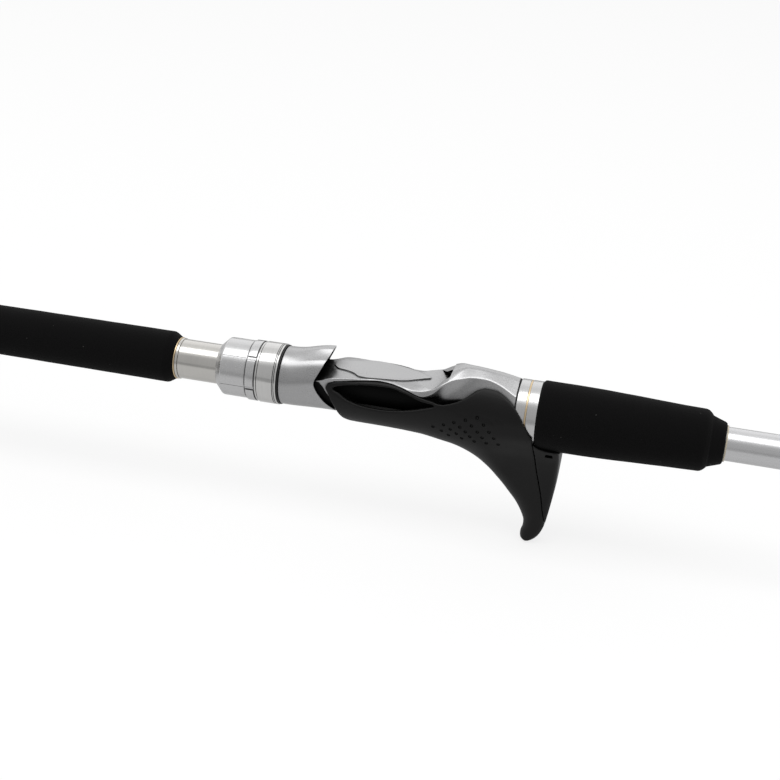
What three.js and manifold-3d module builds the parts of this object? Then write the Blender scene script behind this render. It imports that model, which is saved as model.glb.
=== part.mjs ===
// The handle, blank and guides of a short one-piece overhead jigging rod with a trigger reel seat.
// Millimetres. +X runs along the rod towards the butt, +Z is the reel side and the trigger hangs at -Z.
// The pieces are modelled about the rod's own axis; the finished group is lowered by DECK_Z, so that
// the origin is the centre of the flat pad that a reel's foot stands on.

import * as THREE from "three";
import { mergeVertices } from "three/addons/utils/BufferGeometryUtils.js";
import Module from "manifold-3d";

const wasm = await Module();
wasm.setup();

// ---- Driving sizes -------------------------------------------------------------------------------

// Clearances
const SEAT_GAP = 0.3; // between a piece and the piece it seats in or on
const SEAM = 0.1; // between rings stacked end to end
const RUN_GAP = 0.3; // around the pieces that slide or turn

// Blank, tapered carbon tube that runs through the whole handle
const BLANK_BUTT_R = 5.9;
const BLANK_CHECK_R = 5.3; // where it leaves the foregrip
const BLANK_TIP_R = 1.1;
const BLANK_WALL = 1.3;
const BLANK_REACH = 865; // from the foregrip's winding check to the tip

// Reel seat frame, one aluminium piece: front ring, bridge with the foot pad, fixed hood
const DECK_Z = 8.9; // pad's height above the rod's axis
const PAD_STEP = 0.5; // pad's height above the bridge
const FRONT_RING_R = 10.2;
const FRONT_RING_X = -38; // front face of the frame
const WINDOW_FRONT_X = -21.5;
const WINDOW_REAR_X = 22.5;
const HOUSING_R = 11.5; // frame's belly under the trigger cover
const MOUTH_X = 26.5; // front lip of the fixed hood
const FIXED_HOOD_LENGTH = 27.2;
const ROOF_Z = 16.5; // crown of the fixed hood
const FIXED_HOOD_WALL = 1.3;
const POCKET_DEPTH = 18.5; // how far a foot goes in behind the lip

// Tubes that carry the seat
const BARREL_R = 8.5;
const CORE_R = 7.2;
const BUTT_TUBE_R = 6.85;
const BARREL_OVERLAP = 8.3; // how far the barrel reaches into the frame
const KEYWAY_WIDTH = 3;
const KEYWAY_DEPTH = 1.1;

// Sliding hood and its nut
const HOOD_WALL = 0.9;
const HOOD_END_WALL = 4.5;
const HOOD_LENGTH = 20.6;
const HOOD_R = 12.35; // its round end beside the nut
const HOOD_BELLY_R = 11.7; // its lip's lower half
const HOOD_ROOF_Z = 15.9; // its lip's crown
const TIGHTEN_TRAVEL = 1.5;
const OPEN_TRAVEL = 16;
const HOOD_STOP_GAP = 0.9; // left between hood and frame when fully tightened
const CUSHION_WIDTH = 0.8;
const CUSHION_R = 12.7;
const CLAMP_RING_WIDTH = 9.3;
const CLAMP_RING_R = 13;
const NUT_STOP_GAP = 1.4; // left between nut and barrel end when fully open
const NUT_LENGTH = 18.3;
const NUT_R = 12.36;
const NUT_CHAMFER = 3.1;
const GRIP_PAD_COUNT = 6;
const GRIP_PAD_LENGTH = 3.6;
const GRIP_PAD_HEIGHT = 0.55;
const GRIP_PAD_SHARE = 0.87; // of its share of the turn that a pad takes
const GRIP_PAD_TURN = 0.244; // angle of the first gap between pads

// Trigger cover
const COVER_HALF_WIDTH = 12.5;
const COVER_WALL = 1.6;
const COVER_DEPTH = 15.6; // belly under the rod's axis
const COVER_TAIL_HALF_WIDTH = 14.7; // where it wraps the collars
const TRIGGER_DROP = 58.2; // tip below the rod's axis
const BLADE_HALF_WIDTH = 5.2;

// Rings behind the seat
const COLLAR_R = 13.6;
const SEAL_WIDTH = 0.4;
const FRONT_COLLAR_WIDTH = 3.9;
const GOLD_WIDTH = 0.5;
const REAR_COLLAR_WIDTH = 4.1;

// Grips
const FOREGRIP_LENGTH = 158;
const FOREGRIP_R = 11.05;
const REAR_GRIP_LENGTH = 74.2;
const REAR_GRIP_R = 14.25;
const REAR_GRIP_TAIL_R = 12.6;
const EXPOSED_TUBE_LENGTH = 108;
const BUTT_GRIP_LENGTH = 130;
const BUTT_GRIP_R = 14.5;
const TRIM_WIDTH = 1.2;
const CAP_LENGTH = 17;

// Guides, from the one nearest the reel to the tip
const GUIDE_COUNT = 6;
const FIRST_SPACING = 85; // between the tip and the next guide
const SPACING_GROWTH = 1.145;
const STRIPPER_RING_R = 9; // inner radius of the biggest ring
const TIP_RING_R = 3.6;
const STRIPPER_HEIGHT = 27; // ring's centre above the rod's axis
const TIP_GUIDE_HEIGHT = 10.5;
const RING_THICKNESS = 0.9;
const GUIDE_WIRE_R = 0.85;
const FOOT_WIDTH = 2.6;
const FOOT_THICKNESS = 0.8;
const FOOT_LENGTH = 13;
const WRAP_LENGTH = 9;
const WRAP_THICKNESS = 0.45;

// Roundness
const ROUND = 24; // sides of the larger turned pieces
const SMALL_ROUND = 14;

// ---- Places worked out from the sizes ------------------------------------------------------------

const frameRearX = MOUTH_X + FIXED_HOOD_LENGTH;
const hoodBackX = FRONT_RING_X - HOOD_STOP_GAP - TIGHTEN_TRAVEL - HOOD_END_WALL;
const hoodLipX = hoodBackX + HOOD_LENGTH;
const cushionX = hoodBackX - RUN_GAP - CUSHION_WIDTH;
const clampRingX = cushionX - SEAM - CLAMP_RING_WIDTH;
const nutX = clampRingX - SEAM - NUT_LENGTH;
const barrelX = nutX - OPEN_TRAVEL - NUT_STOP_GAP;
const barrelRearX = FRONT_RING_X + BARREL_OVERLAP;
const goldRingX = barrelX - TRIM_WIDTH - SEAM - GOLD_WIDTH;
const foregripRearX = goldRingX - SEAM;
const foregripX = foregripRearX - FOREGRIP_LENGTH;
const checkX = foregripX - SEAM - TRIM_WIDTH * 3;
const tipX = checkX - BLANK_REACH;
const sealX = frameRearX + SEAM;
const frontCollarX = sealX + SEAL_WIDTH + SEAM;
const midGoldX = frontCollarX + FRONT_COLLAR_WIDTH + SEAM;
const rearCollarX = midGoldX + GOLD_WIDTH + SEAM;
const rearGripX = rearCollarX + REAR_COLLAR_WIDTH + SEAM;
const rearGripEndX = rearGripX + REAR_GRIP_LENGTH;
const rearTrimX = rearGripEndX + SEAM;
const buttTrimX = rearTrimX + TRIM_WIDTH + EXPOSED_TUBE_LENGTH;
const buttGripX = buttTrimX + TRIM_WIDTH + SEAM;
const buttGripEndX = buttGripX + BUTT_GRIP_LENGTH;
const capX = buttGripEndX + SEAM;
const blankEndX = buttGripEndX - 2;

// ---- Materials -----------------------------------------------------------------------------------

const finish = (color, metalness, roughness) =>
  new THREE.MeshStandardMaterial({ color, metalness, roughness });
const satinAluminium = finish(0xb9babb, 1, 0.34);
const polishedAluminium = finish(0xcfccc6, 1, 0.16);
const gold = finish(0xd2ac68, 1, 0.25);
const foam = finish(0x0f0f10, 0, 0.95);
const softBlack = finish(0x232324, 0, 0.6);
const rubberBlack = finish(0x0c0c0c, 0, 0.7);
const gripTrim = finish(0xd9cfb6, 0.2, 0.4);
const carbon = finish(0x17181a, 0.1, 0.25);
const steel = finish(0x8f9296, 1, 0.3);
const ceramic = finish(0x2b2c30, 0.1, 0.15);
const thread = finish(0x1a1b1e, 0, 0.35);

// ---- Shape tools ---------------------------------------------------------------------------------

/** A closed geometry as a manifold solid, with its seams merged and squeezed faces dropped. */
function solid(geometry) {
  const bare = geometry.index ? geometry.toNonIndexed() : geometry.clone();
  bare.deleteAttribute("normal");
  bare.deleteAttribute("uv");
  const merged = mergeVertices(bare, 1e-4);
  const corners = merged.index.array;
  const triVerts = [];
  for (let i = 0; i < corners.length; i += 3) {
    const [a, b, c] = corners.slice(i, i + 3);
    if (a !== b && b !== c && c !== a) triVerts.push(a, b, c);
  }
  const vertProperties = merged.attributes.position.array;
  return new wasm.Manifold(new wasm.Mesh({ numProp: 3, vertProperties,
    triVerts: Uint32Array.from(triVerts) }));
}

/** A manifold solid as a geometry that three.js can draw. */
function drawable(body) {
  const { vertProperties, triVerts } = body.getMesh();
  const geometry = new THREE.BufferGeometry();
  geometry.setAttribute("position", new THREE.BufferAttribute(Float32Array.from(vertProperties), 3));
  geometry.setIndex(Array.from(triVerts));
  const flat = geometry.toNonIndexed();
  flat.computeVertexNormals();
  return flat;
}

/** A smooth curve value(x) through [x, value] pairs that never overshoots them. */
function through(pairs) {
  const steps = pairs.slice(1).map(([x, v], i) => (v - pairs[i][1]) / (x - pairs[i][0]));
  const slopes = pairs.map((_, i) => {
    if (i === 0 || i === pairs.length - 1) return steps[Math.min(i, steps.length - 1)];
    const [before, after] = [steps[i - 1], steps[i]];
    return before * after <= 0 ? 0 : (2 * before * after) / (before + after);
  });
  return (x) => {
    if (x <= pairs[0][0]) return pairs[0][1];
    const i = pairs.findIndex(([end]) => end >= x);
    if (i < 0) return pairs.at(-1)[1];
    const [[x0, v0], [x1, v1]] = [pairs[i - 1], pairs[i]];
    const span = x1 - x0;
    const t = (x - x0) / span;
    const rise = (3 - 2 * t) * t * t;
    const bendIn = (t - 1) * (t - 1) * t * span * slopes[i - 1];
    const bendOut = (t - 1) * t * t * span * slopes[i];
    return v0 + (v1 - v0) * rise + bendIn + bendOut;
  };
}

const lerp = THREE.MathUtils.lerp;
const smooth = THREE.MathUtils.smoothstep;

/** Evenly spaced values from a to b. */
const spread = (a, b, count) => Array.from({ length: count + 1 }, (_, i) => lerp(a, b, i / count));

/** Turns a profile of [x, radius] points about the rod's axis. */
function revolve(profile, sides = ROUND) {
  const points = profile.map(([x, r]) => new THREE.Vector2(r, x));
  return solid(new THREE.LatheGeometry(points, sides).rotateZ(-Math.PI / 2));
}

/** A plain ring between two stations. */
function ring(x0, x1, inner, outer, sides = ROUND) {
  return revolve([[x0, inner], [x0, outer], [x1, outer], [x1, inner], [x0, inner]], sides);
}

/** A ring with its outer edges chamfered. */
function softRing(x0, x1, inner, outer, edge, sides = ROUND) {
  const front = [[x0, inner], [x0, outer - edge], [x0 + edge, outer]];
  return revolve([...front, [x1 - edge, outer], [x1, outer - edge], [x1, inner], [x0, inner]], sides);
}

/** A solid rod, for cutting bores. */
function plug(x0, x1, radius, sides = ROUND) {
  return revolve([[x0, 0], [x0, radius], [x1, radius], [x1, 0]], sides);
}

/** A block that spans y0 to y1, with its outline given in the XZ plane. */
function prism(outline, y0, y1) {
  const shape = new THREE.Shape(outline.map(([x, z]) => new THREE.Vector2(x, z)));
  const block = new THREE.ExtrudeGeometry(shape, { depth: y1 - y0, bevelEnabled: false });
  return solid(block.rotateX(Math.PI / 2).translate(0, y1, 0));
}

/** Skins a row of closed outlines. Each station has its outline as [side, height] points, counted
    from its foot point along its own up direction, counter-clockwise seen from the butt. */
function loft(stations) {
  const count = stations[0].outline.length;
  const points = stations.flatMap(({ foot, up, outline }) =>
    outline.map(([side, height]) => [foot[0] + up[0] * height, side, foot[1] + up[1] * height]));
  const index = [];
  for (let i = 0; i + 1 < stations.length; i++) {
    for (let j = 0; j < count; j++) {
      const [a, b] = [i * count + j, i * count + ((j + 1) % count)];
      index.push(a, b, b + count, a, b + count, a + count);
    }
  }
  const cap = (at, outline, forward) => {
    const contour = outline.map(([side, height]) => new THREE.Vector2(side, height));
    const triangles = THREE.ShapeUtils.triangulateShape(contour, []);
    const area = (corners) => THREE.ShapeUtils.area(corners.map((i) => contour[i]));
    const turn = triangles.reduce((sum, corners) => sum + area(corners), 0) > 0 === forward;
    for (const [a, b, c] of triangles) index.push(at + a, at + (turn ? b : c), at + (turn ? c : b));
  };
  cap(0, stations[0].outline, false);
  cap((stations.length - 1) * count, stations.at(-1).outline, true);
  const geometry = new THREE.BufferGeometry();
  geometry.setAttribute("position", new THREE.Float32BufferAttribute(points.flat(), 3));
  geometry.setIndex(index);
  return solid(geometry);
}

/** An upright station of a loft at x. */
const upright = (x, outline) => ({ foot: [x, 0], up: [0, 1], outline });

/** The whole outline from its right half, listed from the bottom centre to the top centre. */
function mirrored(half) {
  return [...half, ...half.slice(1, -1).reverse().map(([y, z]) => [-y, z])];
}

/** An outline moved outwards by a distance, or inwards where that is negative. */
function offset(outline, distance) {
  return outline.map(([y, z], i) => {
    const [y0, z0] = outline.at(i - 1);
    const [y1, z1] = outline[(i + 1) % outline.length];
    const a = new THREE.Vector2(z - z0, y0 - y).normalize();
    const b = new THREE.Vector2(z1 - z, y - y1).normalize();
    const mean = a.clone().add(b).normalize();
    const reach = distance / Math.max(mean.dot(a), 0.6);
    return [y + mean.x * reach, z + mean.y * reach];
  });
}

/** The lower right quarter of an oval, from the bottom centre up to [y, z]. */
function quarter(y, z, bottom, count) {
  return spread(Math.PI / 2, 0, count).map((t) => [y * Math.cos(t), z - (z - bottom) * Math.sin(t)]);
}

/** A bar of round section along a smooth path. */
function bar(path, radius, steps, sides = 6) {
  const section = new THREE.Shape();
  section.setFromPoints(spread(0, 2 * Math.PI, sides).slice(0, -1)
    .map((t) => new THREE.Vector2(radius * Math.cos(t), radius * Math.sin(t))));
  const extrudePath = new THREE.CatmullRomCurve3(path.map((p) => new THREE.Vector3(...p)));
  return solid(new THREE.ExtrudeGeometry(section, { steps, extrudePath, curveSegments: 1 }));
}

const rod = new THREE.Group();
rod.position.z = -DECK_Z;

/** Adds a finished solid to the rod under its name. */
function add(name, body, material) {
  const mesh = new THREE.Mesh(drawable(body), material);
  mesh.name = name;
  rod.add(mesh);
}

// ---- Reel seat frame -----------------------------------------------------------------------------

const bridgeZ = DECK_Z - PAD_STEP;

// The upper crease: the deck's ridge, which climbs the fixed hood and turns along its roof band.
const ridgeY = through([
  [FRONT_RING_X, 8.9], [WINDOW_FRONT_X - 7.5, 10.2], [WINDOW_FRONT_X, 11.6], [-15, 10.8], [-9, 9.6],
  [-3, 8.3], [0, 8], [3, 8.15], [9, 9.7], [13, 10.6], [MOUTH_X - 9.5, 10.9], [MOUTH_X - 6, 10.5],
  [MOUTH_X - 2.5, 9.15], [MOUTH_X, 8], [MOUTH_X + 2, 6.7], [MOUTH_X + 4, 3.8], [MOUTH_X + 5.5, 2.1],
  [MOUTH_X + 8, 1.75], [frameRearX, 1.75],
]);
const ridgeZ = through([
  [FRONT_RING_X, 4], [WINDOW_FRONT_X - 7.5, 4.6], [WINDOW_FRONT_X - 3, 6.2], [WINDOW_FRONT_X, 7.1],
  [-12, bridgeZ - 0.55], [-3, bridgeZ - 0.1], [3, bridgeZ - 0.3], [9, 6.9], [12, 6.6],
  [MOUTH_X - 11, 6.95], [MOUTH_X - 6, 8.8], [MOUTH_X - 2.5, 11.3], [MOUTH_X, 12.9],
  [MOUTH_X + 2, 14.35], [MOUTH_X + 4, ROOF_Z - 0.6], [MOUTH_X + 5.5, ROOF_Z], [MOUTH_X + 8, ROOF_Z],
  [MOUTH_X + 14.5, ROOF_Z - 0.5], [MOUTH_X + 22.5, ROOF_Z - 1.5], [frameRearX, ROOF_Z - 2.5],
]);
// The lower crease: a narrow bevel under the ridge, then the fixed hood's shoulder.
const shoulderY = through([
  [FRONT_RING_X, 9.6], [WINDOW_FRONT_X, 11.5], [-12, 10.4], [-3, 9.2], [6, 9.8], [11, 10.8], [16, 11.4],
  [MOUTH_X - 6, 11.1], [MOUTH_X - 2.5, 9.6], [MOUTH_X, 8.75], [MOUTH_X + 3.5, 7.9], [MOUTH_X + 8.5, 6],
  [MOUTH_X + 14.5, 5.3], [MOUTH_X + 18.5, 6], [MOUTH_X + 22.5, 7.3], [frameRearX, 9],
]);
const shoulderZ = through([
  [FRONT_RING_X, 2.6], [WINDOW_FRONT_X, 6.2], [-12, bridgeZ - 1.2], [-3, bridgeZ - 0.55], [6, 7.1],
  [11, 5.8], [16, 5.2], [MOUTH_X - 6, 7.4], [MOUTH_X - 2.5, 10.9], [MOUTH_X, 12.2],
  [MOUTH_X + 3.5, 13.6], [MOUTH_X + 8.5, 14.4], [MOUTH_X + 14.5, 14.25], [MOUTH_X + 18.5, 13.6],
  [MOUTH_X + 22.5, 12.3], [frameRearX, 10.2],
]);
// The crown: level along the bridge, then the fixed hood's roof.
const crownZ = through([
  [MOUTH_X - 15, bridgeZ], [MOUTH_X, ROOF_Z - 1.4], [MOUTH_X + 5, ROOF_Z + 0.15],
  [MOUTH_X + 8.5, ROOF_Z + 0.2], [MOUTH_X + 14.5, ROOF_Z - 0.3], [MOUTH_X + 22.5, ROOF_Z - 1.4],
  [frameRearX, ROOF_Z - 2.4],
]);
const crownY = (x) => Math.min(3.5, ridgeY(x) * 0.55);
// Where the flank turns under.
const hipY = through([
  [FRONT_RING_X, FRONT_RING_R - 0.1], [WINDOW_FRONT_X, 11], [0, 10.8], [15, 11.5], [MOUTH_X, 11.4],
  [MOUTH_X + 10, 10.4], [MOUTH_X + 15, 10.3], [frameRearX - 4, 11.4], [frameRearX, 12.1],
]);
const hipZ = through([
  [FRONT_RING_X, 0.5], [WINDOW_FRONT_X, 3], [0, 4.6], [15, 2.2], [MOUTH_X, 4.6], [MOUTH_X + 10, 6],
  [MOUTH_X + 15, 6.5], [frameRearX, 6],
]);
const bellyR = through([[WINDOW_FRONT_X, FRONT_RING_R], [WINDOW_REAR_X, HOUSING_R]]);
// How far the flank hollows in between hip and shoulder, and how much the deck's slope bulges.
const scoop = through([[8, -0.1], [MOUTH_X - 4, 0.5], [MOUTH_X + 16, 0.5], [frameRearX, 0]]);
const bulge = through([[WINDOW_FRONT_X, 0.25], [-5, 0.02], [12, 0.3], [MOUTH_X - 2, 0.2],
  [MOUTH_X + 6, 0]]);

/** Right half of the frame's outline at a station, from the bottom centre to the crown. */
function frameHalf(x) {
  const hip = [hipY(x), hipZ(x)];
  const shoulder = [shoulderY(x), shoulderZ(x)];
  const ridge = [ridgeY(x), ridgeZ(x)];
  const edge = [crownY(x), crownZ(x)];
  const flank = [(hip[0] + shoulder[0]) / 2 - scoop(x), (hip[1] + shoulder[1]) / 2 - scoop(x) * 0.4];
  const slope = [(ridge[0] + edge[0]) / 2, (ridge[1] + edge[1]) / 2 + bulge(x)];
  return [...quarter(...hip, -bellyR(x), 6), flank, shoulder, ridge, slope, edge, [0, crownZ(x)]];
}

/** The frame's outside, grown by a margin where it cuts its own seat into the trigger cover. */
function frameSkin(margin = 0, x0 = FRONT_RING_X, x1 = frameRearX, steps = 24) {
  return loft(spread(x0, x1, steps).map((x) => upright(x, offset(mirrored(frameHalf(x)), margin))));
}

// The trigger cover's upper rim: round its front lobe, under the bridge, over the hump and down the collars.
const coverNoseX = WINDOW_FRONT_X - 3.4;
const rimZ = through([
  [coverNoseX, 2.6], [coverNoseX + 0.5, 3.8], [coverNoseX + 1.3, 4.7], [coverNoseX + 2.8, 5.4],
  [-17, 6.2], [-12.4, 6.8], [-7.8, 7.3], [-3.3, 7.7], [1.5, 7.5], [6.3, 6.8], [11.3, 5.5], [16.1, 4.3],
  [WINDOW_REAR_X - 2.5, 3.6], [WINDOW_REAR_X + 1, 3], [MOUTH_X + 3, 4.8], [MOUTH_X + 6, 6.4],
  [MOUTH_X + 9, 8.5], [MOUTH_X + 12, 10.7], [MOUTH_X + 15, 11.6], [MOUTH_X + 17.5, 11.7],
  [MOUTH_X + 20, 11.3], [MOUTH_X + 24.5, 9.3], [frameRearX, 7.8], [sealX + 1, 6.6], [midGoldX, 1.9],
  [rearCollarX + 1, -1], [rearGripX - 0.6, -7.4],
]);
// The bridge's lower edge stands on that rim above the window.
const bridgeEdge = spread(WINDOW_FRONT_X, WINDOW_REAR_X, 12).map((x) => [x, rimZ(x) + SEAT_GAP]);
const BRIDGE_LEG_Z = 5.1; // how low the bridge's inner legs reach beside the core pipe
const BRIDGE_LEG_HALF_WIDTH = 7.7;
const FAR = 40; // reach of a cutter past everything it cuts

/** The raised pad for the reel's foot: a leaf in plan, laid over the bridge's crown. */
function footPad() {
  const side = [[-23.8, 1.4], [-21.6, 4], [-17.5, 4.9], [-14.2, 6.3], [-11.6, 8.2], [-8, 8.6],
    [-3.6, 8.2], [5, 6.6], [11.5, 3.8],
    [14.7, 1.7], [17, 0.4]];
  const outline = [...side, ...side.slice().reverse().map(([x, y]) => [x, -y])];
  const leaf = new THREE.ExtrudeGeometry(new THREE.Shape(outline.map(([x, y]) => new THREE.Vector2(x, y))),
    { depth: FAR, bevelEnabled: false });
  const crowned = frameSkin(PAD_STEP, side[0][0] - 1, side.at(-1)[0] + 1, 10);
  return crowned.intersect(solid(leaf.translate(0, 0, bridgeZ - 0.35)));
}

/** The room that a reel's foot takes inside the fixed hood, one wall inside its skin. */
function footPocket() {
  return loft(spread(MOUTH_X - 14, MOUTH_X + POCKET_DEPTH, 10).map((x) => {
    const wall = FIXED_HOOD_WALL;
    const up = Math.max((bridgeZ - hipZ(x)) / (shoulderZ(x) - hipZ(x)), 0);
    const floorY = lerp(hipY(x), shoulderY(x), Math.min(up, 1)) - scoop(x) - wall;
    const top = Math.max(crownZ(x) - wall, bridgeZ + 0.6);
    const sideZ = Math.max(shoulderZ(x) - wall * 0.8, bridgeZ + 0.2);
    const side = [Math.min(shoulderY(x) - wall, floorY - 0.1), Math.min(sideZ, top - 0.3)];
    return upright(x, mirrored([[0, bridgeZ], [floorY, bridgeZ], side, [1.4, top], [0, top + 0.01]]));
  }));
}

function seatFrame() {
  let body = frameSkin();
  body = body.subtract(plug(FRONT_RING_X - 1, barrelRearX + SEAT_GAP, BARREL_R + SEAT_GAP));
  body = body.subtract(plug(FRONT_RING_X, frameRearX + 1, CORE_R + SEAT_GAP));
  const below = [[WINDOW_REAR_X, -FAR], [WINDOW_FRONT_X, -FAR]];
  const lowest = bridgeEdge.map(([x, z]) => [x, Math.min(z, BRIDGE_LEG_Z)]);
  const undercut = [[WINDOW_FRONT_X, BRIDGE_LEG_Z], [WINDOW_REAR_X, BRIDGE_LEG_Z], ...below];
  body = body.subtract(prism([...lowest, ...below], -FAR, FAR));
  body = body.subtract(prism([...bridgeEdge, ...below], BRIDGE_LEG_HALF_WIDTH, FAR));
  body = body.subtract(prism([...bridgeEdge, ...below], -FAR, -BRIDGE_LEG_HALF_WIDTH));
  body = body.subtract(prism(undercut, -BRIDGE_LEG_HALF_WIDTH, BRIDGE_LEG_HALF_WIDTH));
  const wall = spread(MOUTH_X - 15, MOUTH_X - 0.9, 7).map((x) => [x, Math.max(ridgeZ(x), bridgeZ) + 0.02]);
  const lip = [...wall, [MOUTH_X - 0.1, ROOF_Z - 1.6], [MOUTH_X + 0.2, FAR], [MOUTH_X - 15, FAR]];
  body = body.subtract(prism(lip, -FAR, FAR)).subtract(footPocket());
  return body.add(footPad());
}

// ---- Sliding hood and nut ------------------------------------------------------------------------

/** Right half of the sliding hood's outline, from a circle at its back to the crested lip. */
function hoodHalf(x) {
  const t = smooth(x, hoodBackX + 1, hoodLipX);
  const round = (angle) => [HOOD_R * Math.cos(angle), HOOD_R * Math.sin(angle)];
  const blend = (angle, at) => round(angle).map((v, i) => lerp(v, at[i], t));
  const shoulder = blend(0.4, [12.1, 4.8]);
  const belly = quarter(...blend(0, [12.1, 1]), -lerp(HOOD_R, HOOD_BELLY_R, t), 7);
  const side = blend(0.66, [10.9, 9]);
  const crest = blend(0.92, [7.5, HOOD_ROOF_Z - 2.9]);
  const hollow = blend(1.17, [4.7, HOOD_ROOF_Z - 1.8]);
  const edge = blend(1.4, [2.1, HOOD_ROOF_Z - 0.1]);
  return [...belly, shoulder, side, crest, hollow, edge, [0, lerp(HOOD_R, HOOD_ROOF_Z, t)]];
}

/** The sliding hood's front edge, seen from the side: back from the crown to a notch, then forward. */
const hoodEdge = [
  [hoodLipX + 0.4, FAR], [hoodLipX, HOOD_ROOF_Z], [hoodLipX - 5.4, 4.8], [hoodLipX - 5.5, 3],
  [hoodLipX - 4.6, 0.6], [hoodLipX - 2.9, -2], [hoodLipX - 1.1, -4.7], [hoodLipX + 1.2, -7.2],
  [hoodLipX + 2.6, -9], [hoodLipX + 3.4, -FAR],
];

function slidingHood() {
  const reach = hoodLipX + 5;
  const shell = loft(spread(hoodBackX, reach, 9).map((x) => upright(x, mirrored(hoodHalf(x)))));
  const hollow = loft(spread(hoodBackX + HOOD_END_WALL, reach + 1, 7)
    .map((x) => upright(x, offset(mirrored(hoodHalf(x)), -HOOD_WALL))));
  const ahead = [[reach + FAR, -FAR], [reach + FAR, FAR]];
  const bore = plug(hoodBackX - 1, hoodBackX + HOOD_END_WALL + 1, BARREL_R + RUN_GAP);
  const keyTop = -(BARREL_R - KEYWAY_DEPTH + RUN_GAP);
  const keyFoot = -(BARREL_R + RUN_GAP + 0.6);
  const keyHalf = KEYWAY_WIDTH / 2 - RUN_GAP;
  const [keyX0, keyX1] = [hoodBackX + 0.5, hoodBackX + HOOD_END_WALL - 0.5];
  const key = prism([[keyX0, keyFoot], [keyX1, keyFoot], [keyX1, keyTop],
    [keyX0, keyTop]], -keyHalf, keyHalf);
  return shell.subtract(hollow).subtract(prism([...hoodEdge, ...ahead], -FAR, FAR)).subtract(bore).add(key);
}

/** The long nut: chamfered nose, plain body and a band of raised finger pads. */
function lockNut() {
  const bore = BARREL_R + RUN_GAP;
  const end = nutX + NUT_LENGTH;
  let body = revolve([
    [nutX, bore], [nutX, bore + 0.4], [nutX + NUT_CHAMFER, NUT_R], [end - 0.3, NUT_R],
    [end, NUT_R - 0.3], [end, bore], [nutX, bore],
  ]);
  const padX0 = end - 0.4 - GRIP_PAD_LENGTH;
  const top = NUT_R + GRIP_PAD_HEIGHT;
  const root = NUT_R - 0.6;
  const halfAngle = (Math.PI / GRIP_PAD_COUNT) * GRIP_PAD_SHARE;
  for (let i = 0; i < GRIP_PAD_COUNT; i++) {
    const middle = (2 * Math.PI * (i + 0.5)) / GRIP_PAD_COUNT + GRIP_PAD_TURN;
    const across = spread(middle - halfAngle, middle + halfAngle, 5);
    const face = [...across.map((a) => [top, a]), ...across.reverse().map((a) => [root, a])];
    const outline = face.map(([r, a]) => [r * Math.cos(a), r * Math.sin(a)]);
    body = body.add(loft([upright(padX0, outline), upright(padX0 + GRIP_PAD_LENGTH, outline)]));
  }
  return body;
}

function clampRing() {
  const [x0, x1] = [clampRingX, clampRingX + CLAMP_RING_WIDTH];
  const [bore, low] = [BARREL_R + RUN_GAP, CLAMP_RING_R - 0.5];
  return revolve([
    [x0, bore], [x0, low], [x0 + 0.7, low], [x0 + 0.9, CLAMP_RING_R], [x1 - 1.6, CLAMP_RING_R],
    [x1 - 1.4, low + 0.2], [x1 - 1.1, low + 0.2], [x1 - 0.9, CLAMP_RING_R], [x1 - 0.3, CLAMP_RING_R],
    [x1, low + 0.2], [x1, bore], [x0, bore],
  ]);
}

// ---- Trigger cover -------------------------------------------------------------------------------

// The cover and trigger are one moulded form. Its stations stand upright as far as FAN_X, then swing
// round a point in the crook of the trigger until they lie almost flat at the tip.
const FAN_X = 25;
const FAN_Z = -62;
const FAN_END = 0.095;
const coverFrontX = WINDOW_FRONT_X - 5;

const bellyDepth = through([
  [coverFrontX, COVER_DEPTH - 1], [coverFrontX + 8, COVER_DEPTH - 0.4],
  [coverFrontX + 14, COVER_DEPTH - 0.1], [0, COVER_DEPTH], [14, COVER_DEPTH + 0.6],
  [FAN_X, COVER_DEPTH + 2.4],
]);
// Trigger's front and back faces, as distances from the fan's centre at each angle above level.
const bladeFront = through([
  [FAN_END, 38.3], [0.103, 36.7], [0.125, 35.7], [0.18, 35.9], [0.27, 37.5], [0.36, 38.3], [0.57, 38.2],
  [0.71, 38], [0.9, 38.6], [1.09, 40.2], [1.25, 41.8], [1.45, 43.3], [Math.PI / 2, 44],
]);
const bladeBack = through([
  [FAN_END, 38.9], [0.103, 40.4], [0.125, 42], [0.161, 43.8], [0.246, 46.5], [0.357, 49.4], [0.463, 52.7],
  [0.57, 57], [0.672, 62], [0.755, 67], [0.88, 75], [1, 88],
]);
// How much the form has turned from cover to blade, by angle.
const bladeShare = (angle) => smooth(Math.PI / 2 - angle, 0, 0.62);
// Half-width of the blade by height: wide under the seat, slim at the tip.
const bladeWidth = through([
  [-TRIGGER_DROP, BLADE_HALF_WIDTH - 0.8], [-45, BLADE_HALF_WIDTH + 0.1], [-33, BLADE_HALF_WIDTH + 0.9],
  [-24, BLADE_HALF_WIDTH + 2], [-17, BLADE_HALF_WIDTH + 3.6], [-11, BLADE_HALF_WIDTH + 6.2],
  [-5, COVER_HALF_WIDTH + 1.6], [0, COVER_TAIL_HALF_WIDTH],
]);
const flankWidth = through([
  [FAN_X, COVER_HALF_WIDTH], [MOUTH_X + 15, COVER_HALF_WIDTH + 0.8],
  [frameRearX - 2, COVER_TAIL_HALF_WIDTH],
]);
// Height at which its flanks would meet over the axis.
const archZ = through([
  [5, 15], [FAN_X - 5, 12.4], [MOUTH_X + 4, 12.9], [MOUTH_X + 15, 14.2],
  [frameRearX, COVER_TAIL_HALF_WIDTH],
]);

/** Rounds an edge: 0 at the edge, 1 once the depth is reached. */
const edgeRound = (distance, depth) => Math.sqrt(Math.max(0, 1 - (1 - Math.min(distance / depth, 1)) ** 2));

/** Half-width of the cover's outside above the axis. */
function upperWidth(x, z) {
  const share = Math.min(Math.max(z, 0) / archZ(x), 0.97);
  return flankWidth(x) * Math.sqrt(1 - share * share);
}

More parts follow.
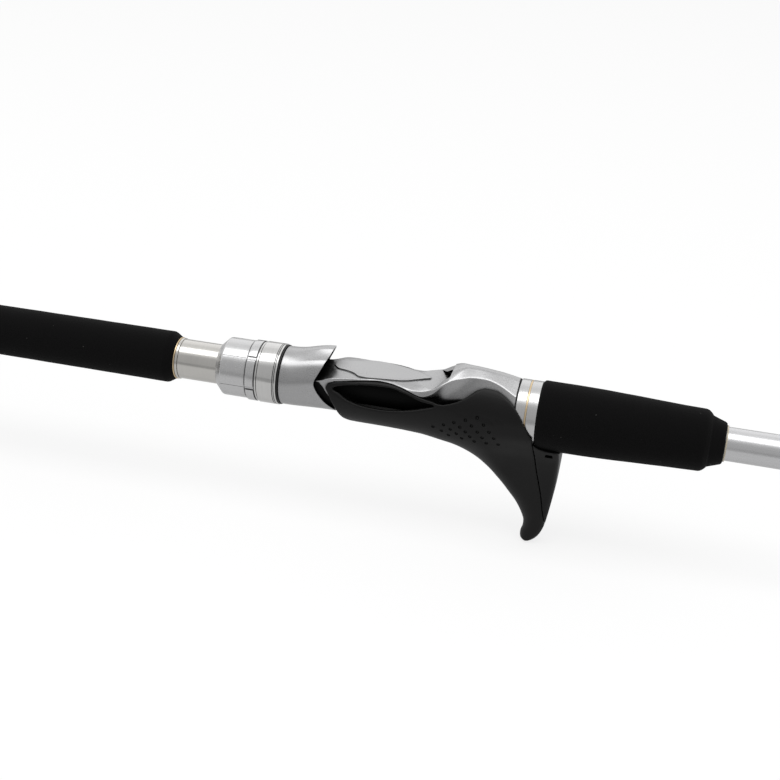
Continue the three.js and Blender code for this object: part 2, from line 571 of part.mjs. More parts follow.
function coverStations() {
  const topZ = 14.4;
  const rows = 8;
  const uprights = spread(coverFrontX, FAN_X, 7).map((x) => {
    const depth = bellyDepth(x);
    const half = spread(0, 1, rows).map((t) => {
      const z = lerp(-depth, topZ, t * t * (1.35 - 0.35 * t));
      return [z < 0 ? COVER_HALF_WIDTH * edgeRound(z + depth, depth) : upperWidth(x, z), z];
    });
    return upright(x, mirrored([...half, [0, topZ]]));
  });
  const fanStops = [...spread(Math.PI / 2, 0.27, 13).slice(1), 0.19, 0.145, 0.12, 0.104, FAN_END];
  const fan = fanStops.map((angle) => {
    const up = [Math.cos(angle), Math.sin(angle)];
    const front = bladeFront(angle);
    const back = Math.min(bladeBack(angle), (topZ - FAN_Z) / up[1]);
    const share = bladeShare(angle);
    const half = spread(0, 1, rows).map((t) => {
      const reach = lerp(front, back, t * t * (1.35 - 0.35 * t));
      const [x, z] = [FAN_X + up[0] * reach, FAN_Z + up[1] * reach];
      const body = z < 0 ? lerp(flankWidth(x), bladeWidth(z), share) : upperWidth(x, z);
      const depth = lerp(COVER_DEPTH + 2.3, 7, share);
      const frontRound = edgeRound(reach - front, Math.min(depth, (back - front) * 0.6));
      const backRound = lerp(1, edgeRound(back - reach + 1.2, 4.2), smooth(0.9 - angle, 0, 0.3));
      return [body * frontRound * backRound, reach];
    });
    return { foot: [FAN_X, FAN_Z], up, outline: mirrored([...half, [0, back]]) };
  });
  return [...uprights, ...fan];
}

const seam = [[rearGripX - 0.6, -7.4], [rearGripX + 1.8, -22], [rearGripX + 4.6, -34],
  [rearGripX + 6.4, -44], [rearGripX + 7.6, -50]];
const SEAM_FAR_X = 90;

/** Everything that the cover and the trigger's back piece are moulded around. */
function coverCore() {
  const grip = gripProfile().map(([x, r]) => [x - SEAT_GAP, r + SEAT_GAP]);
  const hidden = revolve([
    [coverFrontX - 5, 0], [coverFrontX - 5, FRONT_RING_R + SEAT_GAP],
    [WINDOW_FRONT_X - 0.5, FRONT_RING_R + SEAT_GAP],
    [WINDOW_FRONT_X + 0.5, COVER_HALF_WIDTH - COVER_WALL],
    [WINDOW_REAR_X - 2, COVER_HALF_WIDTH - COVER_WALL], [WINDOW_REAR_X, HOUSING_R + SEAT_GAP],
    [frameRearX, HOUSING_R + SEAT_GAP], [frameRearX, COLLAR_R + SEAT_GAP],
    [rearGripX - SEAT_GAP, COLLAR_R + SEAT_GAP], ...grip.slice(1), [grip.at(-1)[0], 0],
  ], ROUND);
  const legs = BRIDGE_LEG_HALF_WIDTH + SEAT_GAP;
  const [x0, x1] = [WINDOW_FRONT_X - 0.5, WINDOW_REAR_X + 0.5];
  const bridge = prism([[x0, 0], [x1, 0], [x1, FAR], [x0, FAR]], -legs, legs);
  return hidden.add(bridge).add(frameSkin(SEAT_GAP, FRONT_RING_X, WINDOW_FRONT_X, 6))
    .add(frameSkin(SEAT_GAP, WINDOW_REAR_X, frameRearX, 14));
}

/** The almond window in the cover's side. */
function coverWindow() {
  const [x0, x1] = [WINDOW_FRONT_X - 1.8, WINDOW_REAR_X];
  const lower = through([
    [x0, 2.3], [x0 + 2.2, 1.5], [-15.2, -1.4], [-8.5, -3.3], [-1.9, -3.7], [5.1, -3], [12, -1.4],
    [18.9, 0.9], [x1, 2],
  ]);
  const upper = through([
    [x0, 2.4], [x0 + 1.5, 3.6], [x0 + 3.8, 4.3], [-14.4, 5.2], [-7.6, 6.1], [-3, 6.5], [1.7, 6.5],
    [6.6, 5.6], [11.5, 4.2], [16.3, 2.7], [x1, 2.1],
  ]);
  const stations = spread(x0, x1, 14);
  return prism([...stations.map((x) => [x, lower(x)]), ...stations.reverse().map((x) => [x, upper(x)])],
    -FAR, FAR);
}

function triggerPieces() {
  const form = loft(coverStations()).subtract(coverCore());
  const nose = coverNoseX;
  const frontEdge = [
    [nose, FAR], [nose, 2.6], [nose + 1.9, -1], [nose + 4.2, -6.1], [nose + 5.7, -9.9], [nose + 7, -12.2],
    [nose + 8.8, -13.9], [nose + 11.5, -15.2], [nose + 14, -FAR],
  ];
  const ahead = [[-80, -FAR], [-80, FAR]];
  const rim = [nose, nose + 0.5, nose + 1.3, ...spread(nose + 2.8, rearGripX - 0.6, 38)].map((x) => [x,
    rimZ(x)]);
  const above = [[SEAM_FAR_X, -7.4], [SEAM_FAR_X, FAR], [-80, FAR], [-80, 2.6]];
  const behind = [...seam, [rearGripX + 7.6, -80], [SEAM_FAR_X + 10, -80], [SEAM_FAR_X + 10, FAR],
    [rearGripX - 0.6, FAR]];
  const backCut = prism(behind, -FAR, FAR);
  // The back piece's upper edge drops away under the grip.
  const upperEdge = [[SEAM_FAR_X, -10.8], [rearGripX + 8, -10.8], [rearGripX + 4.4, -10.5],
    [rearGripX + 2, -9.8], [rearGripX + 0.5, -8.9]];
  const lower = [...seam, [rearGripX + 7.6, -80], [SEAM_FAR_X, -80], ...upperEdge];
  const shifted = prism(lower.map(([x, z]) => [x + SEAM, z]), -FAR, FAR);
  const cover = form.subtract(prism([...frontEdge, ...ahead], -FAR, FAR))
    .subtract(prism([...rim, ...above], -FAR, FAR)).subtract(coverWindow()).subtract(backCut);
  return { cover, back: form.intersect(shifted) };
}

// ---- Grips ---------------------------------------------------------------------------------------

/** The rear grip's outside, from its front face to the edge of its stepped tail. */
function gripProfile() {
  const end = rearGripEndX;
  return [
    [rearGripX, 0], [rearGripX, REAR_GRIP_R - 0.6], [rearGripX + 0.8, REAR_GRIP_R],
    [rearGripX + 22, REAR_GRIP_R - 0.1], [rearGripX + 40, REAR_GRIP_R - 0.75],
    [rearGripX + 54, REAR_GRIP_TAIL_R + 0.3], [end - 8, REAR_GRIP_TAIL_R],
    [end - 6.2, REAR_GRIP_TAIL_R - 1.5], [end - 5.8, REAR_GRIP_TAIL_R - 2.2],
    [end - 0.6, BUTT_TUBE_R + 1.7], [end, BUTT_TUBE_R + 1.2],
  ];
}

function rearGrip() {
  const bore = BUTT_TUBE_R + SEAT_GAP;
  const outside = gripProfile().slice(1);
  return revolve([[rearGripX, bore], ...outside, [rearGripEndX, bore], [rearGripX, bore]]);
}

function foregrip() {
  const bore = BLANK_BUTT_R + SEAT_GAP;
  const [x0, x1] = [foregripX, foregripRearX];
  return revolve([
    [x0, bore], [x0, FOREGRIP_R - 3.2], [x0 + 3, FOREGRIP_R - 1.2], [x0 + 8, FOREGRIP_R - 0.4],
    [x0 + 80, FOREGRIP_R - 0.2], [x1 - 3.5, FOREGRIP_R], [x1 - 0.8, FOREGRIP_R - 1.7],
    [x1, FOREGRIP_R - 2.2], [x1, bore], [x0, bore],
  ]);
}

function buttGrip() {
  const bore = BUTT_TUBE_R + SEAT_GAP;
  const [x0, x1] = [buttGripX, buttGripEndX];
  return revolve([
    [x0, bore], [x0, BUTT_TUBE_R + 1.4], [x0 + 6, BUTT_GRIP_R - 2], [x0 + 12, BUTT_GRIP_R - 0.6],
    [x0 + 30, BUTT_GRIP_R - 0.9], [x0 + 70, BUTT_GRIP_R - 1.2], [x1 - 25, BUTT_GRIP_R - 0.3],
    [x1 - 6, BUTT_GRIP_R], [x1, BUTT_GRIP_R - 0.3], [x1, bore], [x0, bore],
  ]);
}

/** Rubber cap: a cup over the end of the tube, with a flat end face to stand the rod on. */
function buttCap() {
  const end = capX + CAP_LENGTH;
  return revolve([
    [capX, 0], [capX, BUTT_GRIP_R - 0.2], [capX + 2, BUTT_GRIP_R + 0.3], [end - 5, BUTT_GRIP_R + 0.3],
    [end - 1.5, BUTT_GRIP_R - 1], [end, BUTT_GRIP_R - 3.4], [end, 0],
  ]);
}

// ---- Blank, tubes and rings ----------------------------------------------------------------------

function blank() {
  const full = checkX + 60;
  return revolve([
    [tipX, 0], [tipX, BLANK_TIP_R], [checkX, BLANK_CHECK_R], [full, BLANK_BUTT_R],
    [blankEndX, BLANK_BUTT_R], [blankEndX, BLANK_BUTT_R - BLANK_WALL],
    [full, BLANK_BUTT_R - BLANK_WALL], [checkX, BLANK_CHECK_R - BLANK_WALL],
    [tipX + BLANK_REACH * 0.2, 0.5], [tipX + BLANK_REACH * 0.2 - 1, 0],
  ], 24);
}

/** Radius of the blank's taper ahead of the foregrip. */
const blankR = (x) => lerp(BLANK_TIP_R, BLANK_CHECK_R, (x - tipX) / BLANK_REACH);

/** The plain-turned barrel with its keyway along the underside. */
function barrel() {
  const tube = ring(barrelX, barrelRearX, BLANK_BUTT_R + SEAT_GAP, BARREL_R);
  const half = KEYWAY_WIDTH / 2;
  const [z0, z1] = [-BARREL_R - 1, -BARREL_R + KEYWAY_DEPTH];
  const [x0, x1] = [nutX - OPEN_TRAVEL + HOOD_END_WALL, barrelRearX + 1];
  return tube.subtract(prism([[x0, z0], [x1, z0], [x1, z1], [x0, z1]], -half, half));
}

// ---- Guides --------------------------------------------------------------------------------------

/** One guide's sizes. share is 0 at the tip and 1 at the guide nearest the reel. */
function guideSizes(x, share) {
  const inner = lerp(TIP_RING_R, STRIPPER_RING_R, share ** 1.5);
  const holder = inner + RING_THICKNESS + SEAT_GAP;
  return { x, inner, holder, height: lerp(TIP_GUIDE_HEIGHT, STRIPPER_HEIGHT, share ** 1.5) };
}

/** A guide's ceramic ring, rounded where the line runs. */
function guideRing({ x, inner, height }) {
  const [half, outer] = [0.9, inner + RING_THICKNESS];
  const loop = [[-half, outer], [half, outer], [half, inner + 0.3], [0, inner], [-half, inner + 0.3],
    [-half, outer]];
  return revolve(loop, SMALL_ROUND).translate([x, 0, height]);
}

/** A foot that lies along the blank, thinned towards its tail. */
function guideFoot(x, towards) {
  const tail = x + towards * FOOT_LENGTH;
  const low = blankR(Math.max(x, tail)) + SEAT_GAP;
  const outline = [[x, low], [tail, low], [tail, low + 0.25], [x, low + FOOT_THICKNESS]];
  return prism(towards > 0 ? outline : outline.reverse(), -FOOT_WIDTH / 2, FOOT_WIDTH / 2);
}

function guideFrame({ x, holder, height }) {
  const outer = holder + 1.4;
  let body = ring(-0.7, 0.7, holder, outer, SMALL_ROUND).translate([x, 0, height]);
  const reach = 0.55 * height + 3;
  const leg = (footX, side, joinAngle) => {
    const ankle = blankR(footX) + SEAT_GAP + GUIDE_WIRE_R;
    const join = holder + GUIDE_WIRE_R;
    const top = [x, side * join * Math.sin(joinAngle), height - join * Math.cos(joinAngle)];
    const low = [footX, side * 0.7, ankle];
    const knee = [lerp(footX, x, 0.35), side * lerp(0.7, top[1] * side, 0.6), lerp(ankle, top[2], 0.28)];
    return bar([low, knee, top], GUIDE_WIRE_R, 3, 5);
  };
  body = body.add(leg(x + reach, 1, 0.85)).add(leg(x + reach, -1, 0.85)).add(leg(x - reach, 0, 0));
  return body.add(guideFoot(x + reach - 1, 1)).add(guideFoot(x - reach + 1, -1));
}

/** A thread wrap: round under the blank, humped over the foot. */
function wrap(x0) {
  const sides = 9;
  const hole = (blankR(x0 + FOOT_LENGTH) + SEAT_GAP) / Math.cos(Math.PI / sides);
  const high = blankR(x0 + FOOT_LENGTH) + SEAT_GAP + FOOT_THICKNESS + SEAT_GAP;
  const half = FOOT_WIDTH / 2 + SEAT_GAP;
  const spring = Math.asin(half / hole);
  const around = spread(Math.PI / 2 + spring, 2.5 * Math.PI - spring, sides);
  const inner = around.map((a) => [hole * Math.cos(a), hole * Math.sin(a)]).concat([[half, high],
    [-half, high]]);
  const outerR = hole + WRAP_THICKNESS;
  const shoulder = Math.asin(Math.min((half + WRAP_THICKNESS) / outerR, 0.99));
  const outside = spread(Math.PI / 2 + shoulder, 2.5 * Math.PI - shoulder,
    sides).map((a) => [outerR * Math.cos(a), outerR * Math.sin(a)])
    .concat([[half * 0.9 + WRAP_THICKNESS, high + 0.1], [half * 0.6, high + WRAP_THICKNESS],
      [-half * 0.6, high + WRAP_THICKNESS],
      [-half * 0.9 - WRAP_THICKNESS, high + 0.1]]);
  const shell = loft([upright(x0, outside), upright(x0 + WRAP_LENGTH, outside)]);
  return shell.subtract(loft([upright(x0 - 1, inner), upright(x0 + WRAP_LENGTH + 1, inner)]));
}

/** The tip-top: a tube over the blank's end that carries the last ring. */
function tipTop(size) {
  const bore = blankR(tipX + 12) + SEAT_GAP;
  const tube = revolve([
    [tipX - 1.6, 0], [tipX - 1.6, bore], [tipX - 0.8, bore + 0.7], [tipX + 12, bore + 0.7],
    [tipX + 12, bore], [tipX - 0.3, bore], [tipX - 0.3, 0],
  ], SMALL_ROUND);
  const outer = size.holder + 1.2;
  const holder = ring(-0.7, 0.7, size.holder, outer, SMALL_ROUND).translate([size.x, 0, size.height]);
  const [wire, join, root] = [GUIDE_WIRE_R * 0.8, size.holder + GUIDE_WIRE_R * 0.8, bore + GUIDE_WIRE_R];
  const stem = [[tipX - 0.8, 0, root - 0.2],
    [lerp(tipX, size.x, 0.5), 0, lerp(root, size.height - outer, 0.55)],
    [size.x, 0, size.height - join]];
  const back = (side) => bar([[tipX + 7, side * 0.6, root], [tipX + 3, side * 1.8, size.height * 0.55],
    [size.x, side * join * 0.86, size.height - join * 0.5]], wire, 3, 5);
  return tube.add(holder).add(bar(stem, wire, 3, 5)).add(back(1)).add(back(-1));
}

// ---- Assembly ------------------------------------------------------------------------------------

const cordBore = BLANK_BUTT_R + SEAT_GAP;
const tubeBore = BUTT_TUBE_R + SEAT_GAP;

add("blank", blank(), carbon);
add("foregrip_winding_check", softRing(checkX, checkX + TRIM_WIDTH * 3, cordBore, FOREGRIP_R - 3.4, 0.8),
  polishedAluminium);
add("foregrip", foregrip(), foam);
add("barrel_gold_ring", ring(goldRingX, goldRingX + GOLD_WIDTH, cordBore, BARREL_R + 0.5), gold);
add("barrel_end_ring", softRing(barrelX - TRIM_WIDTH, barrelX - SEAM, cordBore, BARREL_R + 0.35, 0.25),
  polishedAluminium);
add("barrel", barrel(), polishedAluminium);
add("lock_nut", lockNut(), polishedAluminium);
add("clamp_ring", clampRing(), polishedAluminium);
add("cushion_ring", softRing(cushionX, cushionX + CUSHION_WIDTH, BARREL_R + RUN_GAP, CUSHION_R, 0.3),
  rubberBlack);
add("sliding_hood", slidingHood(), satinAluminium);
add("seat_frame", seatFrame(), satinAluminium);
add("core_pipe", ring(barrelRearX + SEAM, frameRearX, cordBore, CORE_R), rubberBlack);

const trigger = triggerPieces();
add("trigger_cover", trigger.cover, softBlack);
add("trigger_back", trigger.back, softBlack);

add("seal_ring", softRing(sealX, sealX + SEAL_WIDTH, tubeBore, COLLAR_R - 0.3, 0.15), rubberBlack);
add("front_collar", softRing(frontCollarX, frontCollarX + FRONT_COLLAR_WIDTH, tubeBore, COLLAR_R, 0.3),
  polishedAluminium);
add("collar_gold_ring", ring(midGoldX, midGoldX + GOLD_WIDTH, tubeBore, COLLAR_R - 0.1), gold);
add("rear_collar", softRing(rearCollarX, rearCollarX + REAR_COLLAR_WIDTH, tubeBore, COLLAR_R, 0.3),
  polishedAluminium);
add("butt_tube", ring(frameRearX + SEAM, buttGripEndX, cordBore, BUTT_TUBE_R), satinAluminium);
add("rear_grip", rearGrip(), foam);
add("rear_grip_ring", softRing(rearTrimX, rearTrimX + TRIM_WIDTH, tubeBore, BUTT_TUBE_R + 1.3, 0.3),
  gripTrim);
add("butt_grip_ring", softRing(buttTrimX, buttTrimX + TRIM_WIDTH, tubeBore, BUTT_TUBE_R + 1.3, 0.3),
  gripTrim);
add("butt_grip", buttGrip(), foam);
add("butt_cap", buttCap(), rubberBlack);

let station = tipX;
for (let i = GUIDE_COUNT; i >= 1; i--) {
  station += FIRST_SPACING * SPACING_GROWTH ** (GUIDE_COUNT - i);
  const size = guideSizes(station, (GUIDE_COUNT + 1 - i) / GUIDE_COUNT);
  const reach = 0.55 * size.height + 3;
  add(`guide_${i}_frame`, guideFrame(size), steel);
  add(`guide_${i}_ring`, guideRing(size), ceramic);
  add(`guide_${i}_wrap_front`, wrap(station - reach - 2 - WRAP_LENGTH), thread);
  add(`guide_${i}_wrap_rear`, wrap(station + reach + 2), thread);
}
const tip = { x: tipX - 3.5, inner: TIP_RING_R, holder: TIP_RING_R + RING_THICKNESS + SEAT_GAP,
  height: TIP_RING_R + 4.4 };
add("tip_top", tipTop(tip), steel);
add("tip_ring", guideRing(tip), ceramic);

export default rod;
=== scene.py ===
import logging
import math
from dataclasses import dataclass
from enum import Enum
from typing import Iterable, Sequence

import bmesh
import bpy
import numpy as np
from mathutils import Matrix, Vector


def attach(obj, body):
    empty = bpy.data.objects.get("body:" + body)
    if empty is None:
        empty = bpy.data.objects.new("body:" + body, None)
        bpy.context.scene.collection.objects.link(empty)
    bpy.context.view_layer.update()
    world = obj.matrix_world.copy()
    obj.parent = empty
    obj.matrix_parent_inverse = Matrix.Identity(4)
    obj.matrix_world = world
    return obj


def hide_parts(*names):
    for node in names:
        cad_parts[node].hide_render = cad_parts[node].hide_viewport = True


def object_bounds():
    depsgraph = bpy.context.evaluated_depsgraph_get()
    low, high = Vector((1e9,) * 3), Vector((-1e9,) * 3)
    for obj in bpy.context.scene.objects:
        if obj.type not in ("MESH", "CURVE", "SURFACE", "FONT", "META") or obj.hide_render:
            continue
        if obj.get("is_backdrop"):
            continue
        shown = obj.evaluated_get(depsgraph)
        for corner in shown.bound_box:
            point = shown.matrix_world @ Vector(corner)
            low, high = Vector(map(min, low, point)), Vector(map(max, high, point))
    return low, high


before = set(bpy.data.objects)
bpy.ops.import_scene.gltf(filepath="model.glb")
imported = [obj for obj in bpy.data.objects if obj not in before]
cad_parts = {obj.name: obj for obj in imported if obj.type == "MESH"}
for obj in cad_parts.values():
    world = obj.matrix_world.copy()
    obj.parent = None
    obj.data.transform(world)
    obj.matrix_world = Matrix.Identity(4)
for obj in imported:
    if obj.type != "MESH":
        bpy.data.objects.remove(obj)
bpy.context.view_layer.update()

log = logging.getLogger("rod")

MM = 0.001
FAR = 40.0  # how far a cutter reaches past every piece
Pair = tuple[float, float]
Rgb = tuple[float, float, float]
Spot = tuple[float, float, float]
Object = bpy.types.Object
Material = bpy.types.Material
Node = bpy.types.Node
Socket = bpy.types.NodeSocket


# ---- Sizes the sub-assemblies share, in rod millimetres ----


@dataclass(eq=False)
class Plan:
    """Sizes of the rod and where each piece starts. x runs to the butt on the rod's axis, z to the reel side."""

    seat_gap: float = 0.3
    seam: float = 0.1
    run_gap: float = 0.3
    blank_butt_r: float = 5.9
    blank_check_r: float = 5.3
    blank_tip_r: float = 1.1
    blank_reach: float = 865.0
    deck_z: float = 8.9
    pad_step: float = 0.5
    front_ring_r: float = 10.2
    front_ring_x: float = -38.0
    window_front_x: float = -21.5
    window_rear_x: float = 22.5
    housing_r: float = 11.5
    mouth_x: float = 26.5
    fixed_hood_length: float = 27.2
    roof_z: float = 16.5
    fixed_hood_wall: float = 1.3
    pocket_depth: float = 18.5
    barrel_r: float = 8.5
    core_r: float = 7.2
    butt_tube_r: float = 6.85
    barrel_overlap: float = 8.3
    keyway_width: float = 3.0
    keyway_depth: float = 1.1
    hood_length: float = 20.6
    hood_end_wall: float = 4.5
    hood_stop_gap: float = 0.9
    tighten_travel: float = 1.5
    open_travel: float = 16.0
    cushion_width: float = 0.8
    clamp_ring_width: float = 9.3
    nut_length: float = 18.3
    nut_stop_gap: float = 1.4
    collar_r: float = 13.6
    seal_width: float = 0.4
    front_collar_width: float = 3.9
    gold_width: float = 0.5
    rear_collar_width: float = 4.1
    foregrip_length: float = 158.0
    foregrip_r: float = 11.05
    rear_grip_length: float = 74.2
    exposed_tube_length: float = 108.0
    butt_grip_length: float = 130.0
    butt_grip_r: float = 14.5
    trim_width: float = 1.2
    cap_length: float = 17.0

    def __post_init__(self) -> None:
        """Lays the pieces end to end from the fixed hood, first to the tip and then to the butt."""
        self.bridge_z = self.deck_z - self.pad_step
        self.frame_rear_x = self.mouth_x + self.fixed_hood_length
        self.hood_back_x = self.front_ring_x - self.hood_stop_gap - self.tighten_travel - self.hood_end_wall
        self.hood_lip_x = self.hood_back_x + self.hood_length
        self.cushion_x = self.hood_back_x - self.run_gap - self.cushion_width
        self.clamp_ring_x = self.cushion_x - self.seam - self.clamp_ring_width
        self.nut_x = self.clamp_ring_x - self.seam - self.nut_length
        self.barrel_x = self.nut_x - self.open_travel - self.nut_stop_gap
        self.barrel_rear_x = self.front_ring_x + self.barrel_overlap
        self.gold_ring_x = self.barrel_x - self.trim_width - self.seam - self.gold_width
        self.foregrip_rear_x = self.gold_ring_x - self.seam
        self.foregrip_x = self.foregrip_rear_x - self.foregrip_length
        self.check_x = self.foregrip_x - self.seam - self.trim_width * 3
        self.tip_x = self.check_x - self.blank_reach
        self.seal_x = self.frame_rear_x + self.seam
        self.front_collar_x = self.seal_x + self.seal_width + self.seam
        self.mid_gold_x = self.front_collar_x + self.front_collar_width + self.seam
        self.rear_collar_x = self.mid_gold_x + self.gold_width + self.seam
        self.rear_grip_x = self.rear_collar_x + self.rear_collar_width + self.seam
        self.rear_grip_end_x = self.rear_grip_x + self.rear_grip_length
        self.rear_trim_x = self.rear_grip_end_x + self.seam
        self.butt_trim_x = self.rear_trim_x + self.trim_width + self.exposed_tube_length
        self.butt_grip_x = self.butt_trim_x + self.trim_width + self.seam
        self.butt_grip_end_x = self.butt_grip_x + self.butt_grip_length
        self.cap_x = self.butt_grip_end_x + self.seam

    def blank_radius(self, x: float) -> float:
        """Radius of the blank's taper ahead of the foregrip."""
        share = (x - self.tip_x) / self.blank_reach
        return self.blank_tip_r + (self.blank_check_r - self.blank_tip_r) * share


PLAN = Plan()


# ---- Curves and outlines ----


class Curve:
    """A smooth curve through given points that never overshoots them."""

    def __init__(self, *pairs: Pair) -> None:
        """Works out the slopes.

        Args:
            pairs: Points of the curve in rising order, each as (place, value).
        """
        self.x = np.array([p[0] for p in pairs], float)
        self.v = np.array([p[1] for p in pairs], float)
        steps = np.diff(self.v) / np.diff(self.x)
        slopes = np.empty(len(pairs))
        slopes[0], slopes[-1] = steps[0], steps[-1]
        before, after = steps[:-1], steps[1:]
        total = np.where(before + after == 0, 1, before + after)
        slopes[1:-1] = np.where(before * after <= 0, 0, 2 * before * after / total)
        self.slopes = slopes

    def __call__(self, x: float) -> float:
        """Reads the curve.

        Args:
            x: Place along the curve.

        Returns:
            Value there, held level past both ends.
        """
        if x <= self.x[0]:
            return float(self.v[0])
        if x >= self.x[-1]:
            return float(self.v[-1])
        i = int(np.searchsorted(self.x, x))
        span = self.x[i] - self.x[i - 1]
        t = (x - self.x[i - 1]) / span
        rise = (3 - 2 * t) * t * t
        bend_in = (t - 1) * (t - 1) * t * span * self.slopes[i - 1]
        bend_out = (t - 1) * t * t * span * self.slopes[i]
        return float(self.v[i - 1] + (self.v[i] - self.v[i - 1]) * rise + bend_in + bend_out)


def mix(a: float, b: float, t: float) -> float:
    """Value a share t of the way from a to b."""
    return a + (b - a) * t


def step_up(x: float, low: float, high: float) -> float:
    """Smooth rise from 0 at low to 1 at high."""
    t = min(max((x - low) / (high - low), 0.0), 1.0)
    return t * t * (3 - 2 * t)


def paced(start: float, *runs: tuple[float, int]) -> list[float]:
    """Places that run from a start through one stop after another, in equal steps between stops.

    Args:
        start: The first place.
        runs: The stops, each with its number of steps.

    Returns:
        The places, from the start to the last stop.
    """
    places = [start]
    for stop, count in runs:
        places += list(np.linspace(places[-1], stop, count + 1))[1:]
    return places


def bow(a: Pair, middle: Pair, b: Pair, count: int) -> list[Pair]:
    """Points of a curve from a to b that passes through a middle point, without its last point.

    Args:
        a: First end.
        middle: Point that the curve passes half-way along.
        b: Last end.
        count: Number of points.

    Returns:
        The points, from a up to the one before b.
    """
    control = tuple(2 * m - (p + q) / 2 for m, p, q in zip(middle, a, b))
    rows = []
    for i in range(count):
        t = i / count
        rows.append(tuple((1 - t) ** 2 * p + 2 * t * (1 - t) * c + t * t * q for p, c, q in zip(a, control, b)))
    return rows


def band(x0: float, x1: float, bore: float, radius: float) -> list[Pair]:
    """Section of a plain ring, as a closed profile of (x, radius) points."""
    return [(x0, bore), (x0, radius), (x1, radius), (x1, bore)]


def oval_quarter(y: float, z: float, bottom: float, count: int) -> list[Pair]:
    """Lower right quarter of an oval, from the bottom centre up to (y, z), without its last point."""
    turns = [math.pi / 2 * (1 - i / count) for i in range(count)]
    return [(y * math.cos(t), z - (z - bottom) * math.sin(t)) for t in turns]


def eased(points: Sequence[Pair], radius: float | Sequence[float], steps: int = 4, closed: bool = True) -> list[Pair]:
    """An outline with its corners rounded.

    Args:
        points: Corners of the outline.
        radius: How far from each corner the rounding starts, one for all or one each.
        steps: Flats in each rounded corner.
        closed: Whether the outline comes back to its first corner.

    Returns:
        The rounded outline, with the same number of points for the same number of corners.
    """
    count = len(points)
    reach = list(radius) if isinstance(radius, (list, tuple)) else [radius] * count
    corners = np.array(points, float)
    rounded: list[Pair] = []
    for i in range(count):
        here, size = corners[i], reach[i]
        if size <= 0 or (not closed and i in (0, count - 1)):
            rounded.append(tuple(here))
            continue
        back, on = corners[i - 1] - here, corners[(i + 1) % count] - here
        long_back, long_on = np.linalg.norm(back), np.linalg.norm(on)
        a = here + back / max(long_back, 1e-9) * min(size, long_back * 0.45)
        b = here + on / max(long_on, 1e-9) * min(size, long_on * 0.45)
        for k in range(steps + 1):
            t = k / steps
            rounded.append(tuple((1 - t) ** 2 * a + 2 * t * (1 - t) * here + t * t * b))
    return rounded


def both_sides(half: Sequence[Pair]) -> list[Pair]:
    """The whole outline from its right half, listed from the bottom centre to the top centre."""
    return list(half) + [(-y, z) for y, z in reversed(half[1:-1])]


def grown(outline: Sequence[Pair], distance: float) -> list[Pair]:
    """An outline moved outwards by a distance, or inwards where that is negative.

    Args:
        outline: The outline's points.
        distance: How far it moves.

    Returns:
        The moved outline.
    """
    points = np.array(outline, float)
    before, after = np.roll(points, 1, 0), np.roll(points, -1, 0)

    def normals(run: np.ndarray) -> np.ndarray:
        """Outward unit normals of the outline's edges."""
        turned = np.stack([run[:, 1], -run[:, 0]], 1)
        return turned / np.maximum(np.linalg.norm(turned, axis=1, keepdims=True), 1e-9)

    a, b = normals(points - before), normals(after - points)
    mean = a + b
    mean /= np.maximum(np.linalg.norm(mean, axis=1, keepdims=True), 1e-9)
    reach = distance / np.maximum((mean * a).sum(1, keepdims=True), 0.6)
    return [tuple(p) for p in points + mean * reach]


def blurred(grid: np.ndarray, spread: float) -> np.ndarray:
    """Rows of outlines eased along the rod.

    Args:
        grid: The outlines, one row each.
        spread: How many rows the easing reaches, as a standard deviation.

    Returns:
        The eased outlines, as many as before.
    """
    reach = int(spread * 3) + 1
    weights = np.exp(-0.5 * (np.arange(-reach, reach + 1) / spread) ** 2)
    weights /= weights.sum()
    padded = np.concatenate([np.repeat(grid[:1], reach, 0), grid, np.repeat(grid[-1:], reach, 0)])
    return sum(w * padded[i : i + len(grid)] for i, w in enumerate(weights))


# ---- Solid forms ----


def linked(name: str, data: bpy.types.ID) -> Object:
    """Puts data in the scene as an object.

    Args:
        name: Name for the object.
        data: What it shows.

    Returns:
        The object.
    """
    piece = bpy.data.objects.new(name, data)
    bpy.context.scene.collection.objects.link(piece)
    return piece


def cleaned(mesh: bpy.types.Mesh, weld: float, thin: float, outwards: bool = False) -> None:
    """Welds points that coincide and drops faces with no width.

    Args:
        mesh: The mesh that is changed.
        weld: Distance in metres within which points become one.
        thin: Width in metres under which a face is dropped.
        outwards: Whether the faces are turned outwards too.
    """
    work = bmesh.new()
    work.from_mesh(mesh)
    bmesh.ops.remove_doubles(work, verts=work.verts, dist=weld)
    bmesh.ops.dissolve_degenerate(work, dist=thin, edges=work.edges)
    if outwards:
        bmesh.ops.recalc_face_normals(work, faces=work.faces)
    work.to_mesh(mesh)
    work.free()


